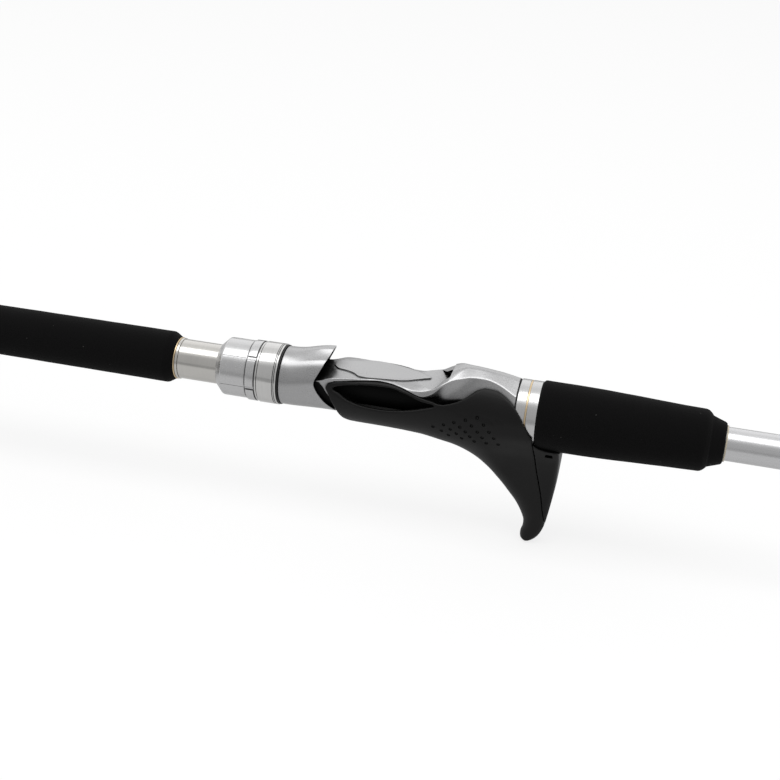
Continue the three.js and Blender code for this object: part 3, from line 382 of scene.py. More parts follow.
class Form:
    """A closed shape in rod millimetres."""

    def __init__(self, points: np.ndarray, faces: Sequence[Sequence[int]]) -> None:
        """Keeps the points and the faces that join them."""
        self.points = np.asarray(points, float)
        self.faces = list(faces)

    @classmethod
    def skinned(cls, rows: Sequence[Sequence[Sequence[float]]], capped: bool = True) -> "Form":
        """Skins a row of closed outlines.

        Args:
            rows: The outlines, each a list of (x, y, z) points, all of one length.
            capped: Whether both ends are closed with a face.

        Returns:
            The closed form.
        """
        grid = np.array(rows, float)
        count, around = grid.shape[:2]
        faces: list[list[int]] = []
        for i in range(count - 1):
            for j in range(around):
                k = (j + 1) % around
                faces.append([i * around + j, i * around + k, (i + 1) * around + k, (i + 1) * around + j])
        if capped:
            faces.append(list(range(around))[::-1])
            faces.append([(count - 1) * around + j for j in range(around)])
        return cls(grid.reshape(-1, 3), faces)

    @classmethod
    def lofted(cls, stations: Iterable[tuple[float, Sequence[Pair]]]) -> "Form":
        """Skins upright outlines of (y, z) points that stand at given places along the rod."""
        return cls.skinned([[(x, y, z) for y, z in outline] for x, outline in stations])

    @classmethod
    def turned(cls, profile: Sequence[Pair], sides: int = 128) -> "Form":
        """Turns a profile of (x, radius) points about the rod's axis.

        Args:
            profile: The profile. It is closed into a ring unless both its ends lie on the axis.
            sides: Facets round the axis.

        Returns:
            The closed form.
        """
        on_axis = profile[0][1] == 0 and profile[-1][1] == 0
        count = len(profile)
        turns = np.linspace(0, 2 * math.pi, sides, endpoint=False)
        grid = np.array([[(x, r * math.cos(t), r * math.sin(t)) for t in turns] for x, r in profile])
        faces = []
        for i in range(count - 1 if on_axis else count):
            n = (i + 1) % count
            for j in range(sides):
                k = (j + 1) % sides
                faces.append([i * sides + j, i * sides + k, n * sides + k, n * sides + j])
        return cls(grid.reshape(-1, 3), faces)

    @classmethod
    def plug(cls, x0: float, x1: float, radius: float) -> "Form":
        """A solid rod, for cutting bores."""
        return cls.turned([(x0, 0), (x0, radius), (x1, radius), (x1, 0)])

    @classmethod
    def block(cls, outline: Sequence[Pair], y0: float, y1: float) -> "Form":
        """A block that spans y0 to y1, with its outline given as (x, z) points."""
        return cls.skinned([[(x, y, z) for x, z in outline] for y in (y0, y1)])

    @classmethod
    def slab(cls, outline: Sequence[Pair]) -> "Form":
        """A block that reaches past both sides of every piece, with its outline given as (x, z) points."""
        return cls.block(outline, -FAR, FAR)

    @classmethod
    def bar(cls, x0: float, x1: float, z0: float, z1: float, half: float) -> "Form":
        """A straight bar that stands half its width to each side of the middle plane."""
        return cls.block([(x0, z0), (x1, z0), (x1, z1), (x0, z1)], -half, half)

    @classmethod
    def column(cls, outline: Sequence[Pair], z0: float, z1: float) -> "Form":
        """A block that spans z0 to z1, with its outline given as (x, y) points."""
        return cls.skinned([[(x, y, z) for x, y in outline] for z in (z0, z1)])

    def moved(self, x: float = 0, y: float = 0, z: float = 0) -> "Form":
        """The same form somewhere else."""
        return Form(self.points + np.array([x, y, z]), self.faces)

    def joined(self, other: "Form") -> "Form":
        """This form and another in one mesh.

        Args:
            other: The other form.

        Returns:
            Both as one.
        """
        shift = len(self.points)
        faces = self.faces + [[i + shift for i in face] for face in other.faces]
        return Form(np.vstack([self.points, other.points]), faces)

    def made(self, name: str) -> Object:
        """Makes the form an object in the shared frame, with its faces turned outwards.

        Args:
            name: Name for the object.

        Returns:
            The object.
        """
        mesh = bpy.data.meshes.new(name)
        points = (self.points - np.array([0, 0, PLAN.deck_z])) * MM
        mesh.from_pydata(points.tolist(), [], self.faces)
        cleaned(mesh, 1e-7, 1e-8, outwards=True)
        return linked(name, mesh)


class Join(Enum):
    """Ways in which one solid works on another."""

    CUT = "DIFFERENCE"
    ADD = "UNION"
    KEEP = "INTERSECT"


class Bench:
    """Tools that change a piece's mesh for good."""

    @staticmethod
    def settle(piece: Object) -> None:
        """Applies a piece's modifiers.

        Args:
            piece: The piece that is changed.
        """
        evaluated = piece.evaluated_get(bpy.context.evaluated_depsgraph_get())
        mesh = bpy.data.meshes.new_from_object(evaluated)
        old = piece.data
        piece.modifiers.clear()
        piece.data = mesh
        mesh.name = piece.name
        bpy.data.meshes.remove(old)

    @staticmethod
    def work(piece: Object, how: Join, *tools: Form | Object) -> Object:
        """Cuts, adds or keeps the volumes of tools, one after another.

        Args:
            piece: The piece that is changed.
            how: What is done with each tool.
            tools: The volumes it is worked with, used up by this.

        Returns:
            The same piece.
        """
        for tool in tools:
            other = tool.made("tool") if isinstance(tool, Form) else tool
            boolean = piece.modifiers.new("work", "BOOLEAN")
            boolean.operation = how.value
            boolean.solver = "MANIFOLD"
            boolean.object = other
            Bench.settle(piece)
            bpy.data.objects.remove(other)
        return piece

    @staticmethod
    def mould(piece: Object, grain: float, passes: int) -> None:
        """Gives a piece a moulded skin, with every edge rounded.

        Args:
            piece: The piece that is changed.
            grain: Size of the new faces in millimetres.
            passes: How many times the skin is eased.
        """
        remesh = piece.modifiers.new("skin", "REMESH")
        remesh.mode = "VOXEL"
        remesh.voxel_size = grain * MM
        ease = piece.modifiers.new("ease", "SMOOTH")
        ease.factor = 0.5
        ease.iterations = passes
        Bench.settle(piece)

    @staticmethod
    def tidy(piece: Object) -> Object:
        """Drops the faces with no width that a cut can leave, and returns the piece."""
        cleaned(piece.data, 2e-6, 2e-6)
        return piece


# ---- Nodes and shader arithmetic ----


class Nodes:
    """A node tree that is filled a node at a time."""

    def __init__(self, tree: bpy.types.NodeTree) -> None:
        """Starts with the tree emptied."""
        self.tree = tree
        tree.nodes.clear()

    def feed(self, node: Node, inputs: dict) -> None:
        """Links or sets a node's inputs.

        Args:
            node: The node.
            inputs: What each input gets, by name or place: a socket or a Value to follow, or a constant.
        """
        for key, given in inputs.items():
            source = given.socket if isinstance(given, Value) else given
            if isinstance(source, Socket):
                self.tree.links.new(source, node.inputs[key])
            else:
                node.inputs[key].default_value = source

    def node(self, kind: str, settings: dict | None = None, inputs: dict | None = None) -> Node:
        """Adds a node.

        Args:
            kind: Blender's name for its type.
            settings: Properties of the node.
            inputs: What its inputs get, as feed takes it.

        Returns:
            The new node.
        """
        node = self.tree.nodes.new(kind)
        for key, value in (settings or {}).items():
            setattr(node, key, value)
        self.feed(node, inputs or {})
        return node

    def out(self, kind: str, *inputs: object, **settings: object) -> Socket:
        """Adds a node that is fed in the order of its inputs, and returns its first output."""
        return self.node(kind, settings, dict(enumerate(inputs))).outputs[0]

    def math(self, operation: str, *inputs: "Socket | Value | float") -> Socket:
        """The result of a Math node."""
        return self.out("ShaderNodeMath", *inputs, operation=operation)


class Value:
    """A value in a material's nodes that ordinary arithmetic works on."""

    def __init__(self, graph: "Graph", socket: Socket) -> None:
        """Keeps the socket and the graph it is in."""
        self.graph = graph
        self.socket = socket

    def worked(self, operation: str, *others: "Value | float") -> "Value":
        """The result of a Math node on this value and others."""
        return Value(self.graph, self.graph.math(operation, self, *others))

    def __add__(self, other: "Value | float") -> "Value":
        """This plus other."""
        return self.worked("ADD", other)

    __radd__ = __add__

    def __mul__(self, other: "Value | float") -> "Value":
        """This times other."""
        return self.worked("MULTIPLY", other)

    __rmul__ = __mul__

    def __sub__(self, other: "Value | float") -> "Value":
        """This less other."""
        return self.worked("SUBTRACT", other)

    def __rsub__(self, other: float) -> "Value":
        """Other less this."""
        return self * -1.0 + other

    def over(self, edge: float) -> "Value":
        """1 where this is greater than edge, else 0."""
        return self.worked("GREATER_THAN", edge)

    def eased(self, low: float, high: float) -> "Value":
        """Smooth rise from 0 at low to 1 at high."""
        inputs = {"Value": self, "From Min": low, "From Max": high}
        return self.graph.value("ShaderNodeMapRange", {"interpolation_type": "SMOOTHSTEP"}, inputs)


class Graph(Nodes):
    """One material's nodes."""

    def __init__(self, name: str) -> None:
        """Starts a material that holds only its surface and output.

        Args:
            name: Name for the material.
        """
        self.material = bpy.data.materials.new(name)
        self.material.use_nodes = True
        super().__init__(self.material.node_tree)
        self.surface = self.node("ShaderNodeBsdfPrincipled")
        self.node("ShaderNodeOutputMaterial", inputs={0: self.surface.outputs[0]})

    def value(
        self, kind: str, settings: dict | None = None, inputs: dict | None = None, output: int | str = 0
    ) -> Value:
        """Adds a node, as node does, and returns one of its outputs."""
        return Value(self, self.node(kind, settings, inputs).outputs[output])

    def place(self) -> Value:
        """Where a point is, in the shared frame."""
        return self.value("ShaderNodeTexCoord", output="Object")

    def stretched(self, where: Value, scale: Rgb) -> Value:
        """A place scaled along each axis."""
        return self.value("ShaderNodeMapping", inputs={"Vector": where, "Scale": scale})

    def parts(self, where: Value) -> tuple[Value, Value, Value]:
        """The three numbers of a place."""
        node = self.node("ShaderNodeSeparateXYZ", inputs={0: where})
        return tuple(Value(self, socket) for socket in node.outputs)

    def noise(self, where: Value, scale: float, detail: float = 2.0, roughness: float = 0.5) -> Value:
        """Soft noise of about 0 to 1."""
        inputs = {"Vector": where, "Scale": scale, "Detail": detail, "Roughness": roughness}
        return self.value("ShaderNodeTexNoise", inputs=inputs)

    def cells(self, where: Value, scale: float) -> Value:
        """Distance to the nearest of many scattered points."""
        return self.value("ShaderNodeTexVoronoi", inputs={"Vector": where, "Scale": scale}, output="Distance")

    def blend(self, share: Value, low: Rgb | Value, high: Rgb | Value) -> Value:
        """A colour between two others, each of them plain or varying."""
        low, high = (end if isinstance(end, Value) else (*end, 1) for end in (low, high))
        return self.value("ShaderNodeMix", {"data_type": "RGBA"}, {"Factor": share, 6: low, 7: high}, 2)

    def open_air(self, reach: float) -> Value:
        """0 deep in a crevice to 1 in the open, judged within a reach in millimetres."""
        return self.value("ShaderNodeAmbientOcclusion", {"samples": 6}, {"Distance": reach * MM}, "AO")

    def soft_edge(self, radius: float) -> Value:
        """The surface's direction with its edges rounded by a radius in millimetres."""
        return self.value("ShaderNodeBevel", {"samples": 6}, {"Radius": radius * MM})

    def bumped(self, height: Value, depth: float, strength: float, over: Value | None = None) -> Value:
        """The surface's direction, disturbed by a height.

        Args:
            height: The height, of about 0 to 1.
            depth: Millimetres that a height of 1 stands for.
            strength: Share of the disturbance that is kept.
            over: The direction that is disturbed, if not the surface's own.

        Returns:
            The disturbed direction.
        """
        inputs = {"Height": height, "Distance": depth * MM, "Strength": strength}
        if over is not None:
            inputs["Normal"] = over
        return self.value("ShaderNodeBump", inputs=inputs)

    def finish(self, inputs: dict[str, Value | float | tuple]) -> Material:
        """Feeds the surface's inputs and returns the material."""
        self.feed(self.surface, inputs)
        return self.material


# ---- Finishes ----


def toned(colour: Rgb, share: float) -> Rgb:
    """A colour made darker, or lighter where the share is above 1."""
    return tuple(part * share for part in colour)


class Grain(Enum):
    """How a metal was finished: stretch of its grain, share of its darkest tone, spread of its tones."""

    BLASTED = ((1, 1, 1), 0.78, 2.0)
    ALONG = ((0.03, 1, 1), 0.9, 1.2)
    TURNED = ((1, 0.02, 0.02), 0.9, 1.2)
    POLISHED = ((0.6, 0.05, 0.05), 0.9, 1.2)
    SMOOTH = ((1, 1, 1), 0.9, 1.2)


@dataclass(frozen=True)
class Metal:
    """Bare or anodised metal, darker in crevices within a set reach: painted shade."""

    name: str
    colour: Rgb
    roughness: float
    grain: Grain
    depth: float = 0.004
    edge: float = 0.18
    # The last two fields paint shade into crevices: its reach in millimetres, 0 for none, and the share of the colour
    # left at the darkest.
    shade_reach: float = 0.0
    shade_tone: float = 0.14

    def material(self) -> Material:
        """Makes the material: grain in its bump and roughness, and a slow drift of tone.

        Returns:
            The material.
        """
        stretch, darkest, spread = self.grain.value
        graph = Graph(self.name)
        where = graph.place()
        drift = graph.noise(where, 90, 3)
        fine = graph.noise(graph.stretched(where, stretch), 9000, 3, 0.65)
        coarse = graph.noise(graph.stretched(where, stretch), 2200, 2, 0.5)
        share = (coarse - 0.5) * spread + drift * 0.5 + 0.25
        tone = graph.blend(share, toned(self.colour, darkest), self.colour)
        # Painted shade: the colour darkens where ambient occlusion finds other surfaces near, in crevices and gaps.
        if self.shade_reach:
            unshaded = graph.open_air(self.shade_reach).eased(0.5, 1.0)
            tone = graph.blend(unshaded, toned(self.colour, self.shade_tone), tone)
        rough = (fine - 0.5) * 0.16 + (coarse - 0.5) * 0.08 + drift.eased(0.35, 0.7) * 0.03 + self.roughness
        normal = graph.bumped(fine * 0.6 + coarse * 0.4, self.depth, 0.6, graph.soft_edge(self.edge))
        return graph.finish({"Metallic": 1.0, "Base Color": tone, "Roughness": rough, "Normal": normal})


@dataclass(frozen=True)
class Foam:
    """Dense closed-cell foam with a ground surface."""

    name: str
    colour: Rgb = (0.0034, 0.0033, 0.0034)
    dust: Rgb = (0.06, 0.058, 0.055)

    def material(self) -> Material:
        """Makes the material: open cells, slow clouding and a few pale specks of dust.

        Returns:
            The material.
        """
        graph = Graph(self.name)
        where = graph.place()
        cloud = graph.noise(where, 260, 4, 0.6)
        coarse = graph.noise(where, 1100, 4, 0.7)
        speck = (1.0 - graph.cells(where, 210)).over(0.955) * graph.noise(where, 700, 1).over(0.56)
        ground = graph.blend(cloud * 0.5 + coarse * 0.5, toned(self.colour, 0.55), toned(self.colour, 1.6))
        return graph.finish({
            "Base Color": graph.blend(speck, ground, self.dust),
            "Roughness": cloud * 0.08 + 0.88,
            "Normal": graph.bumped(graph.cells(where, 2600) * 0.6 + coarse * 0.8, 0.12, 0.75),
            "Specular IOR Level": 0.1,
            "Sheen Weight": 0.03,
            "Sheen Roughness": 0.5,
        })


@dataclass(frozen=True)
class Moulded:
    """Moulded or painted polymer, rubber or glazed ceramic."""

    name: str
    colour: Rgb
    roughness: float
    specular: float = 0.5
    texture: float = 1400.0
    depth: float = 0.01
    coat: float = 0.0
    coat_roughness: float = 0.1
    edge: float = 0.0

    def material(self) -> Material:
        """Makes the material: a fine moulded texture, and handled patches a little smoother.

        Returns:
            The material.
        """
        graph = Graph(self.name)
        where = graph.place()
        texture = graph.noise(where, self.texture, 4, 0.6)
        pores = graph.cells(where, self.texture * 1.9)
        handled = graph.noise(where, 60, 3).eased(0.35, 0.7)
        over = graph.soft_edge(self.edge) if self.edge else None
        ground = graph.blend(handled * 0.5 + texture * 0.5, toned(self.colour, 0.8), toned(self.colour, 1.2))
        return graph.finish({
            "Base Color": ground,
            "Roughness": (texture - 0.5) * 0.12 - handled * 0.05 + (self.roughness + 0.02),
            "Normal": graph.bumped(texture * 0.7 + pores * 0.5, self.depth, 0.7, over),
            "Specular IOR Level": self.specular,
            "Coat Weight": self.coat,
            "Coat Roughness": self.coat_roughness,
        })


@dataclass(frozen=True)
class Carbon:
    """Carbon cloth under clear lacquer, its tows wound at a slant round the blank."""

    name: str
    dark: Rgb = (0.004, 0.0042, 0.005)
    light: Rgb = (0.03, 0.031, 0.034)
    pitch: float = 2.4

    def material(self) -> Material:
        """Makes the material from crossed tape lines and the fibres within them.

        Returns:
            The material.
        """
        graph = Graph(self.name)
        where = graph.place()
        x, y, z = graph.parts(where)
        turns = (z + PLAN.deck_z * MM).worked("ARCTAN2", y) * (1 / (2 * math.pi))
        along = x * (1000 / self.pitch)
        wound, back = (((along + turns * slant) * (2 * math.pi)).worked("SINE") for slant in (2, -2))
        tape = (wound * back).eased(-0.35, 0.35)
        fibre = graph.noise(graph.stretched(where, (0.04, 1, 1)), 9000, 2, 0.6)
        return graph.finish({
            "Base Color": graph.blend(tape * 0.7 + fibre * 0.3, self.dark, self.light),
            "Roughness": 0.42 - tape * 0.14,
            "Normal": graph.bumped(tape * 0.6 + fibre * 0.4, 0.01, 0.4),
            "Coat Weight": 1.0,
            "Coat Roughness": 0.04,
            "Specular IOR Level": 0.5,
        })


@dataclass(frozen=True)
class Wound:
    """Thread under clear epoxy."""

    name: str
    colour: Rgb = (0.012, 0.013, 0.016)

    def material(self) -> Material:
        """Makes the material: fibres that run round the blank, under a wet-looking coat.

        Returns:
            The material.
        """
        graph = Graph(self.name)
        fibre = graph.noise(graph.stretched(graph.place(), (1, 0.05, 0.05)), 8000, 3, 0.6)
        return graph.finish({
            "Base Color": graph.blend(fibre, toned(self.colour, 0.5), toned(self.colour, 1.7)),
            "Roughness": fibre * 0.15 + 0.38,
            "Normal": graph.bumped(fibre, 0.01, 0.5),
            "Coat Weight": 1.0,
            "Coat Roughness": 0.06,
        })


class Finish(Enum):
    """Every finish on the rod, with the material slot it belongs to."""

    # The last number of SATIN, NUT and CLAMP is the reach of their painted shade in crevices, in millimetres.
    SATIN = "satin_aluminium", Metal("satin aluminium", (0.55, 0.55, 0.555), 0.29, Grain.BLASTED, 0.006, 0.3, 10.0)
    POLISHED = "polished_aluminium", Metal("polished aluminium", (0.72, 0.705, 0.675), 0.17, Grain.POLISHED, 0.001)
    TURNED = "polished_aluminium", Metal("turned aluminium", (0.7, 0.7, 0.7), 0.22, Grain.TURNED, 0.003)
    NUT = "polished_aluminium", Metal("nut aluminium", (0.72, 0.72, 0.725), 0.24, Grain.SMOOTH, 0.0008, 0.06, 1.2)
    CLAMP = (
        "polished_aluminium",
        Metal("clamp ring aluminium", (0.76, 0.755, 0.745), 0.14, Grain.POLISHED, 0.001, 0.05, 0.35),
    )
    TUBE = "satin_aluminium", Metal("tube aluminium", (0.74, 0.74, 0.75), 0.26, Grain.ALONG, 0.003)
    GOLD = "gold_trim", Metal("pale gold", (0.84, 0.66, 0.42), 0.32, Grain.TURNED, 0.002, 0.05)
    FOAM = "foam", Foam("grip foam")
    COVER = "soft_black", Moulded("soft-touch cover", (0.004, 0.0038, 0.0039), 0.42, 0.26, 2200, 0.008)
    RUBBER = "rubber", Moulded("black rubber", (0.006, 0.006, 0.006), 0.5, 0.4, 1800, 0.012, edge=0.12)
    CORE = "core_black", Moulded("core paint", (0.0025, 0.0025, 0.0025), 0.7, 0.12)
    CREAM = "cream_trim", Moulded("cream ring", (0.68, 0.6, 0.45), 0.3, 0.5, 900, 0.003, coat=0.6, edge=0.12)
    CARBON = "carbon_blank", Carbon("carbon blank")
    STEEL = "guide_steel", Metal("guide steel", (0.5, 0.51, 0.53), 0.2, Grain.POLISHED, 0.001, 0.1)
    CERAMIC = "ceramic", Moulded("ring ceramic", (0.02, 0.021, 0.024), 0.12, 0.6, 3000, 0.0005, coat=0.5)
    THREAD = "thread", Wound("wrapped thread")

    def slot(self) -> str:
        """Name of the material slot."""
        return self.value[0]

    def material(self) -> Material:
        """The finish's material, made once."""
        return bpy.data.materials.get(self.value[1].name) or self.value[1].material()


class Body(Enum):
    """Bodies that pieces ride on."""

    ROD = "rod"
    HOOD = "hood"
    NUT = "nut"


def dress(piece: Object, finish: Finish, *nodes: str, body: Body = Body.ROD, crease: float = 30.0) -> Object:
    """Shades a finished piece, gives it its material and its body, and hides the CAD nodes that it stands for.

    Args:
        piece: The piece.
        finish: Its finish.
        nodes: The CAD nodes it replaces.
        body: The body it rides on.
        crease: Angle in degrees from which faces meet in a crisp line.

    Returns:
        The same piece.
    """
    mesh = piece.data
    mesh.polygons.foreach_set("use_smooth", [True] * len(mesh.polygons))
    mesh.set_sharp_from_angle(angle=math.radians(crease))
    mesh.update()
    mesh.materials.clear()
    mesh.materials.append(finish.material())
    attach(piece, body.value)
    if nodes:
        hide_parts(*nodes)
    mesh.calc_loop_triangles()
    log.info("%s: %d triangles", piece.name, len(mesh.loop_triangles))
    return piece


# ---- Geometry Nodes recipes ----


class Recipe(Nodes):
    """A Geometry Nodes tree with named inputs, run once on a piece and then removed."""

    def __init__(self, name: str, inputs: dict[str, float | int], finish: Finish) -> None:
        """Starts a tree.

        Args:
            name: What the tree makes.
            inputs: Its named sizes with their values.
            finish: The finish it sets at its end.
        """
        super().__init__(bpy.data.node_groups.new(name, "GeometryNodeTree"))
        self.tree.is_modifier = True
        self.finish = finish
        self.values: dict[str, float | int] = {}
        self.tree.interface.new_socket("Geometry", in_out="INPUT", socket_type="NodeSocketGeometry")
        for label, value in inputs.items():
            kind = "NodeSocketInt" if isinstance(value, int) else "NodeSocketFloat"
            socket = self.tree.interface.new_socket(label, in_out="INPUT", socket_type=kind)
            socket.default_value = value
            self.values[socket.identifier] = value
        self.tree.interface.new_socket("Geometry", in_out="OUTPUT", socket_type="NodeSocketGeometry")
        self.start = self.node("NodeGroupInput")

    def given(self, label: str) -> Socket:
        """The tree's own input of that name."""
        return self.start.outputs[label]

    def end(self, geometry: Socket) -> None:
        """Closes the tree: real geometry, smooth, in its finish.

        Args:
            geometry: What the tree has made.
        """
        real = self.out("GeometryNodeRealizeInstances", self.out("GeometryNodeSetShadeSmooth", geometry))
        painted = self.node("GeometryNodeSetMaterial", inputs={0: real, "Material": self.finish.material()})
        self.node("NodeGroupOutput", inputs={0: painted.outputs[0]})

    def scatter(self, points: Socket, shape: Socket, turn: Socket | None = None) -> None:
        """Closes the tree with a copy of a shape on every point.

        Args:
            points: The points.
            shape: What each point gets.
            turn: Its rotation, if any.
        """
        inputs = {"Points": points, "Instance": shape}
        if turn is not None:
            inputs["Rotation"] = turn
        self.end(self.node("GeometryNodeInstanceOnPoints", inputs=inputs).outputs[0])

    def run(self, source: Object, name: str) -> Object:
        """Runs the tree on an object, which is used up.

        Args:
            source: The object whose geometry the tree starts from.
            name: Name for the result.

        Returns:
            A plain mesh object.
        """
        modifier = source.modifiers.new("recipe", "NODES")
        modifier.node_group = self.tree
        for identifier, value in self.values.items():
            modifier[identifier] = value
        graph = bpy.context.evaluated_depsgraph_get()
        evaluated = source.evaluated_get(graph)
        mesh = bpy.data.meshes.new_from_object(evaluated, preserve_all_data_layers=True, depsgraph=graph)
        result = linked(name, mesh)
        bpy.data.objects.remove(source)
        bpy.data.node_groups.remove(self.tree)
        return result


# ---- Seat frame: front ring, bridge with the foot pad, fixed hood ----


@dataclass
class SeatFrame:
    """The one-piece aluminium frame of the reel seat."""

    plan: Plan = PLAN
    leg_z: float = 5.1
    leg_half_width: float = 7.7
    crease: float = 0.8
    flow: float = 1.0
    row_step: float = 0.55
    groove: float = 0.3
    # The thin black band under the hood's edge is painted shade for the dark gap there: its wall, how deep it is set
    # into the frame, and the room in its bore.
    shade_band_wall: float = 0.75
    shade_band_depth: float = 0.3
    shade_band_room: float = 0.05

    def __post_init__(self) -> None:
        """Draws the creases that run along the frame."""
        p = self.plan
        mouth, roof, deck, front, rear = p.mouth_x, p.roof_z, p.bridge_z, p.window_front_x, p.frame_rear_x
        self.ridge_y = Curve(
            (p.front_ring_x, 8.9), (front - 7.5, 10.2), (front, 11.6), (-15, 10.8), (-9, 9.6), (-3, 8.3),
            (0, 8), (3, 8.15), (9, 9.7), (13, 10.6), (mouth - 9.5, 10.9), (mouth - 6, 10.5),
            (mouth - 2.5, 9.15), (mouth, 8), (mouth + 2, 6.7), (mouth + 4, 3.8), (mouth + 5.5, 2.1),
            (mouth + 8, 1.75), (rear, 1.75),
        )
        self.ridge_z = Curve(
            (p.front_ring_x, 4), (front - 7.5, 4.6), (front - 3, 6.2), (front, 7.1), (-12, deck - 0.55),
            (-3, deck - 0.1), (3, deck - 0.3), (9, 6.9), (12, 6.6), (mouth - 11, 6.95), (mouth - 6, 8.8),
            (mouth - 2.5, 11.3), (mouth, 12.9), (mouth + 2, 14.35), (mouth + 4, roof - 0.6),
            (mouth + 5.5, roof), (mouth + 8, roof), (mouth + 14.5, roof - 0.5), (mouth + 22.5, roof - 1.5),
            (rear, roof - 2.5),
        )
        self.shoulder_y = Curve(
            (p.front_ring_x, 9.6), (front, 11.5), (-12, 10.4), (-3, 9.2), (6, 9.8), (11, 10.8), (16, 11.4),
            (mouth - 6, 11.1), (mouth - 2.5, 9.6), (mouth, 8.75), (mouth + 3.5, 7.9), (mouth + 8.5, 6),
            (mouth + 14.5, 5.3), (mouth + 18.5, 6), (mouth + 22.5, 7.3), (rear, 9),
        )
        self.shoulder_z = Curve(
            (p.front_ring_x, 2.6), (front, 6.2), (-12, deck - 1.2), (-3, deck - 0.55), (6, 7.1), (11, 5.8),
            (16, 5.2), (mouth - 6, 7.4), (mouth - 2.5, 10.9), (mouth, 12.2), (mouth + 3.5, 13.6),
            (mouth + 8.5, 14.4), (mouth + 14.5, 14.25), (mouth + 18.5, 13.6), (mouth + 22.5, 12.3),
            (rear, 10.2),
        )
        self.crown_z = Curve(
            (mouth - 15, deck), (mouth, roof - 1.4), (mouth + 5, roof + 0.15), (mouth + 8.5, roof + 0.2),
            (mouth + 14.5, roof - 0.3), (mouth + 22.5, roof - 1.4), (rear, roof - 2.4),
        )
        self.hip_y = Curve(
            (p.front_ring_x, p.front_ring_r - 0.1), (front, 11), (0, 10.8), (11, 10.6), (16, 9.4),
            (mouth - 4, 8.7), (mouth + 1, 8.5), (mouth + 6, 8.7), (mouth + 10, 9.2), (mouth + 15, 10.1),
            (rear - 4, 11.4), (rear, 12.1),
        )
        self.hip_z = Curve(
            (p.front_ring_x, 0.5), (front, 3), (0, 4.6), (15, 2.2), (mouth, 4.6), (mouth + 10, 6), (mouth + 15, 6.5),
            (rear, 6),
        )
        self.belly_r = Curve((front, p.front_ring_r), (p.window_rear_x, p.housing_r))
        self.scoop = Curve(
            (8, -0.1), (14, -0.3), (mouth - 4, 0.1), (mouth + 2, 0.5), (mouth + 8, 0.6), (mouth + 14, 0.4), (rear, 0),
        )
        self.bulge = Curve((front, 0.25), (-5, 0.02), (12, 0.3), (mouth - 2, 0.2), (mouth + 6, 0))

    def outline(self, x: float) -> list[Pair]:
        """The frame's whole outline at x, with its creases softened.

        Args:
            x: Place along the rod.

        Returns:
            The closed outline.
        """
        hip = (self.hip_y(x), self.hip_z(x))
        shoulder = (self.shoulder_y(x), self.shoulder_z(x))
        ridge = (self.ridge_y(x), self.ridge_z(x))
        edge = (min(3.5, ridge[0] * 0.55), self.crown_z(x))
        scoop = self.scoop(x)
        flank = ((hip[0] + shoulder[0]) / 2 - scoop, (hip[1] + shoulder[1]) / 2 - scoop * 0.4)
        slope = ((ridge[0] + edge[0]) / 2, (ridge[1] + edge[1]) / 2 + self.bulge(x))
        side = bow(hip, flank, shoulder, 12)
        face = bow(ridge, slope, edge, 12)
        creases = eased([side[-1], shoulder, ridge, face[1]], self.crease, 6, closed=False)[1:-1]
        roof = [edge, (edge[0] / 2, edge[1]), (0, edge[1])]
        return both_sides(oval_quarter(*hip, -self.belly_r(x), 22) + side + creases + face[1:] + roof)

    def skin(self, margin: float, x0: float, x1: float) -> Form:
        """The frame's outside between two places, grown by a margin.

        Args:
            margin: How far the outside is grown.
            x0: Front end.
            x1: Rear end.

        Returns:
            The closed form.
        """
        step, spare = self.row_step, 8
        count = max(int((x1 - x0) / step), 4)
        places = np.linspace(x0, x1, count + 1)
        ahead = [x0 - step * i for i in range(spare, 0, -1)]
        beyond = [x1 + step * i for i in range(1, spare + 1)]
        rows = blurred(np.array([self.outline(x) for x in [*ahead, *places, *beyond]]), self.flow / step)
        return Form.lofted((x, grown(row, margin)) for x, row in zip(places, rows[spare:-spare]))

    def leaf(self) -> list[Pair]:
        """Outline of the raised pad in plan.

        Returns:
            The outline as (x, y) points.
        """
        side = Curve(
            (-23.8, 1.4), (-21.6, 4), (-17.5, 4.9), (-14.2, 6.3), (-11.6, 8.2), (-8, 8.6), (-3.6, 8.2),
            (5, 6.6), (11.5, 3.8), (14.7, 1.7), (17, 0.4),
        )
        places = np.linspace(-23.8, 17, 90)
        right = [(x, side(x)) for x in places]
        return right + [(x, -y) for x, y in reversed(right)]

    def pocket(self) -> Form:
        """The room that a reel's foot takes inside the fixed hood.

        Returns:
            The form that is cut away.
        """
        p, wall = self.plan, self.plan.fixed_hood_wall
        rows = []
        for x in np.linspace(p.mouth_x - 14, p.mouth_x + p.pocket_depth, 50):
            rise = (p.bridge_z - self.hip_z(x)) / (self.shoulder_z(x) - self.hip_z(x))
            floor_y = mix(self.hip_y(x), self.shoulder_y(x), min(max(rise, 0), 1)) - self.scoop(x) - wall
            top = max(self.crown_z(x) - wall, p.bridge_z + 0.6)
            side_z = max(self.shoulder_z(x) - wall * 0.8, p.bridge_z + 0.2)
            side = (min(self.shoulder_y(x) - wall, floor_y - 0.1), min(side_z, top - 0.3))
            corners = [(0, p.bridge_z), (floor_y, p.bridge_z), side, (1.4, top), (0, top + 0.01)]
            rows.append((x, both_sides(eased(corners, [0, 0.3, 1.2, 0.8, 0], 4, closed=False))))
        return Form.lofted(rows)

    def rim(self, cover: "TriggerCover") -> list[Pair]:
        """Lower edge of the bridge, which stands on the trigger cover's rim."""
        p = self.plan
        return [(x, cover.rim_z(x) + p.seat_gap) for x in np.linspace(p.window_front_x, p.window_rear_x, 60)]

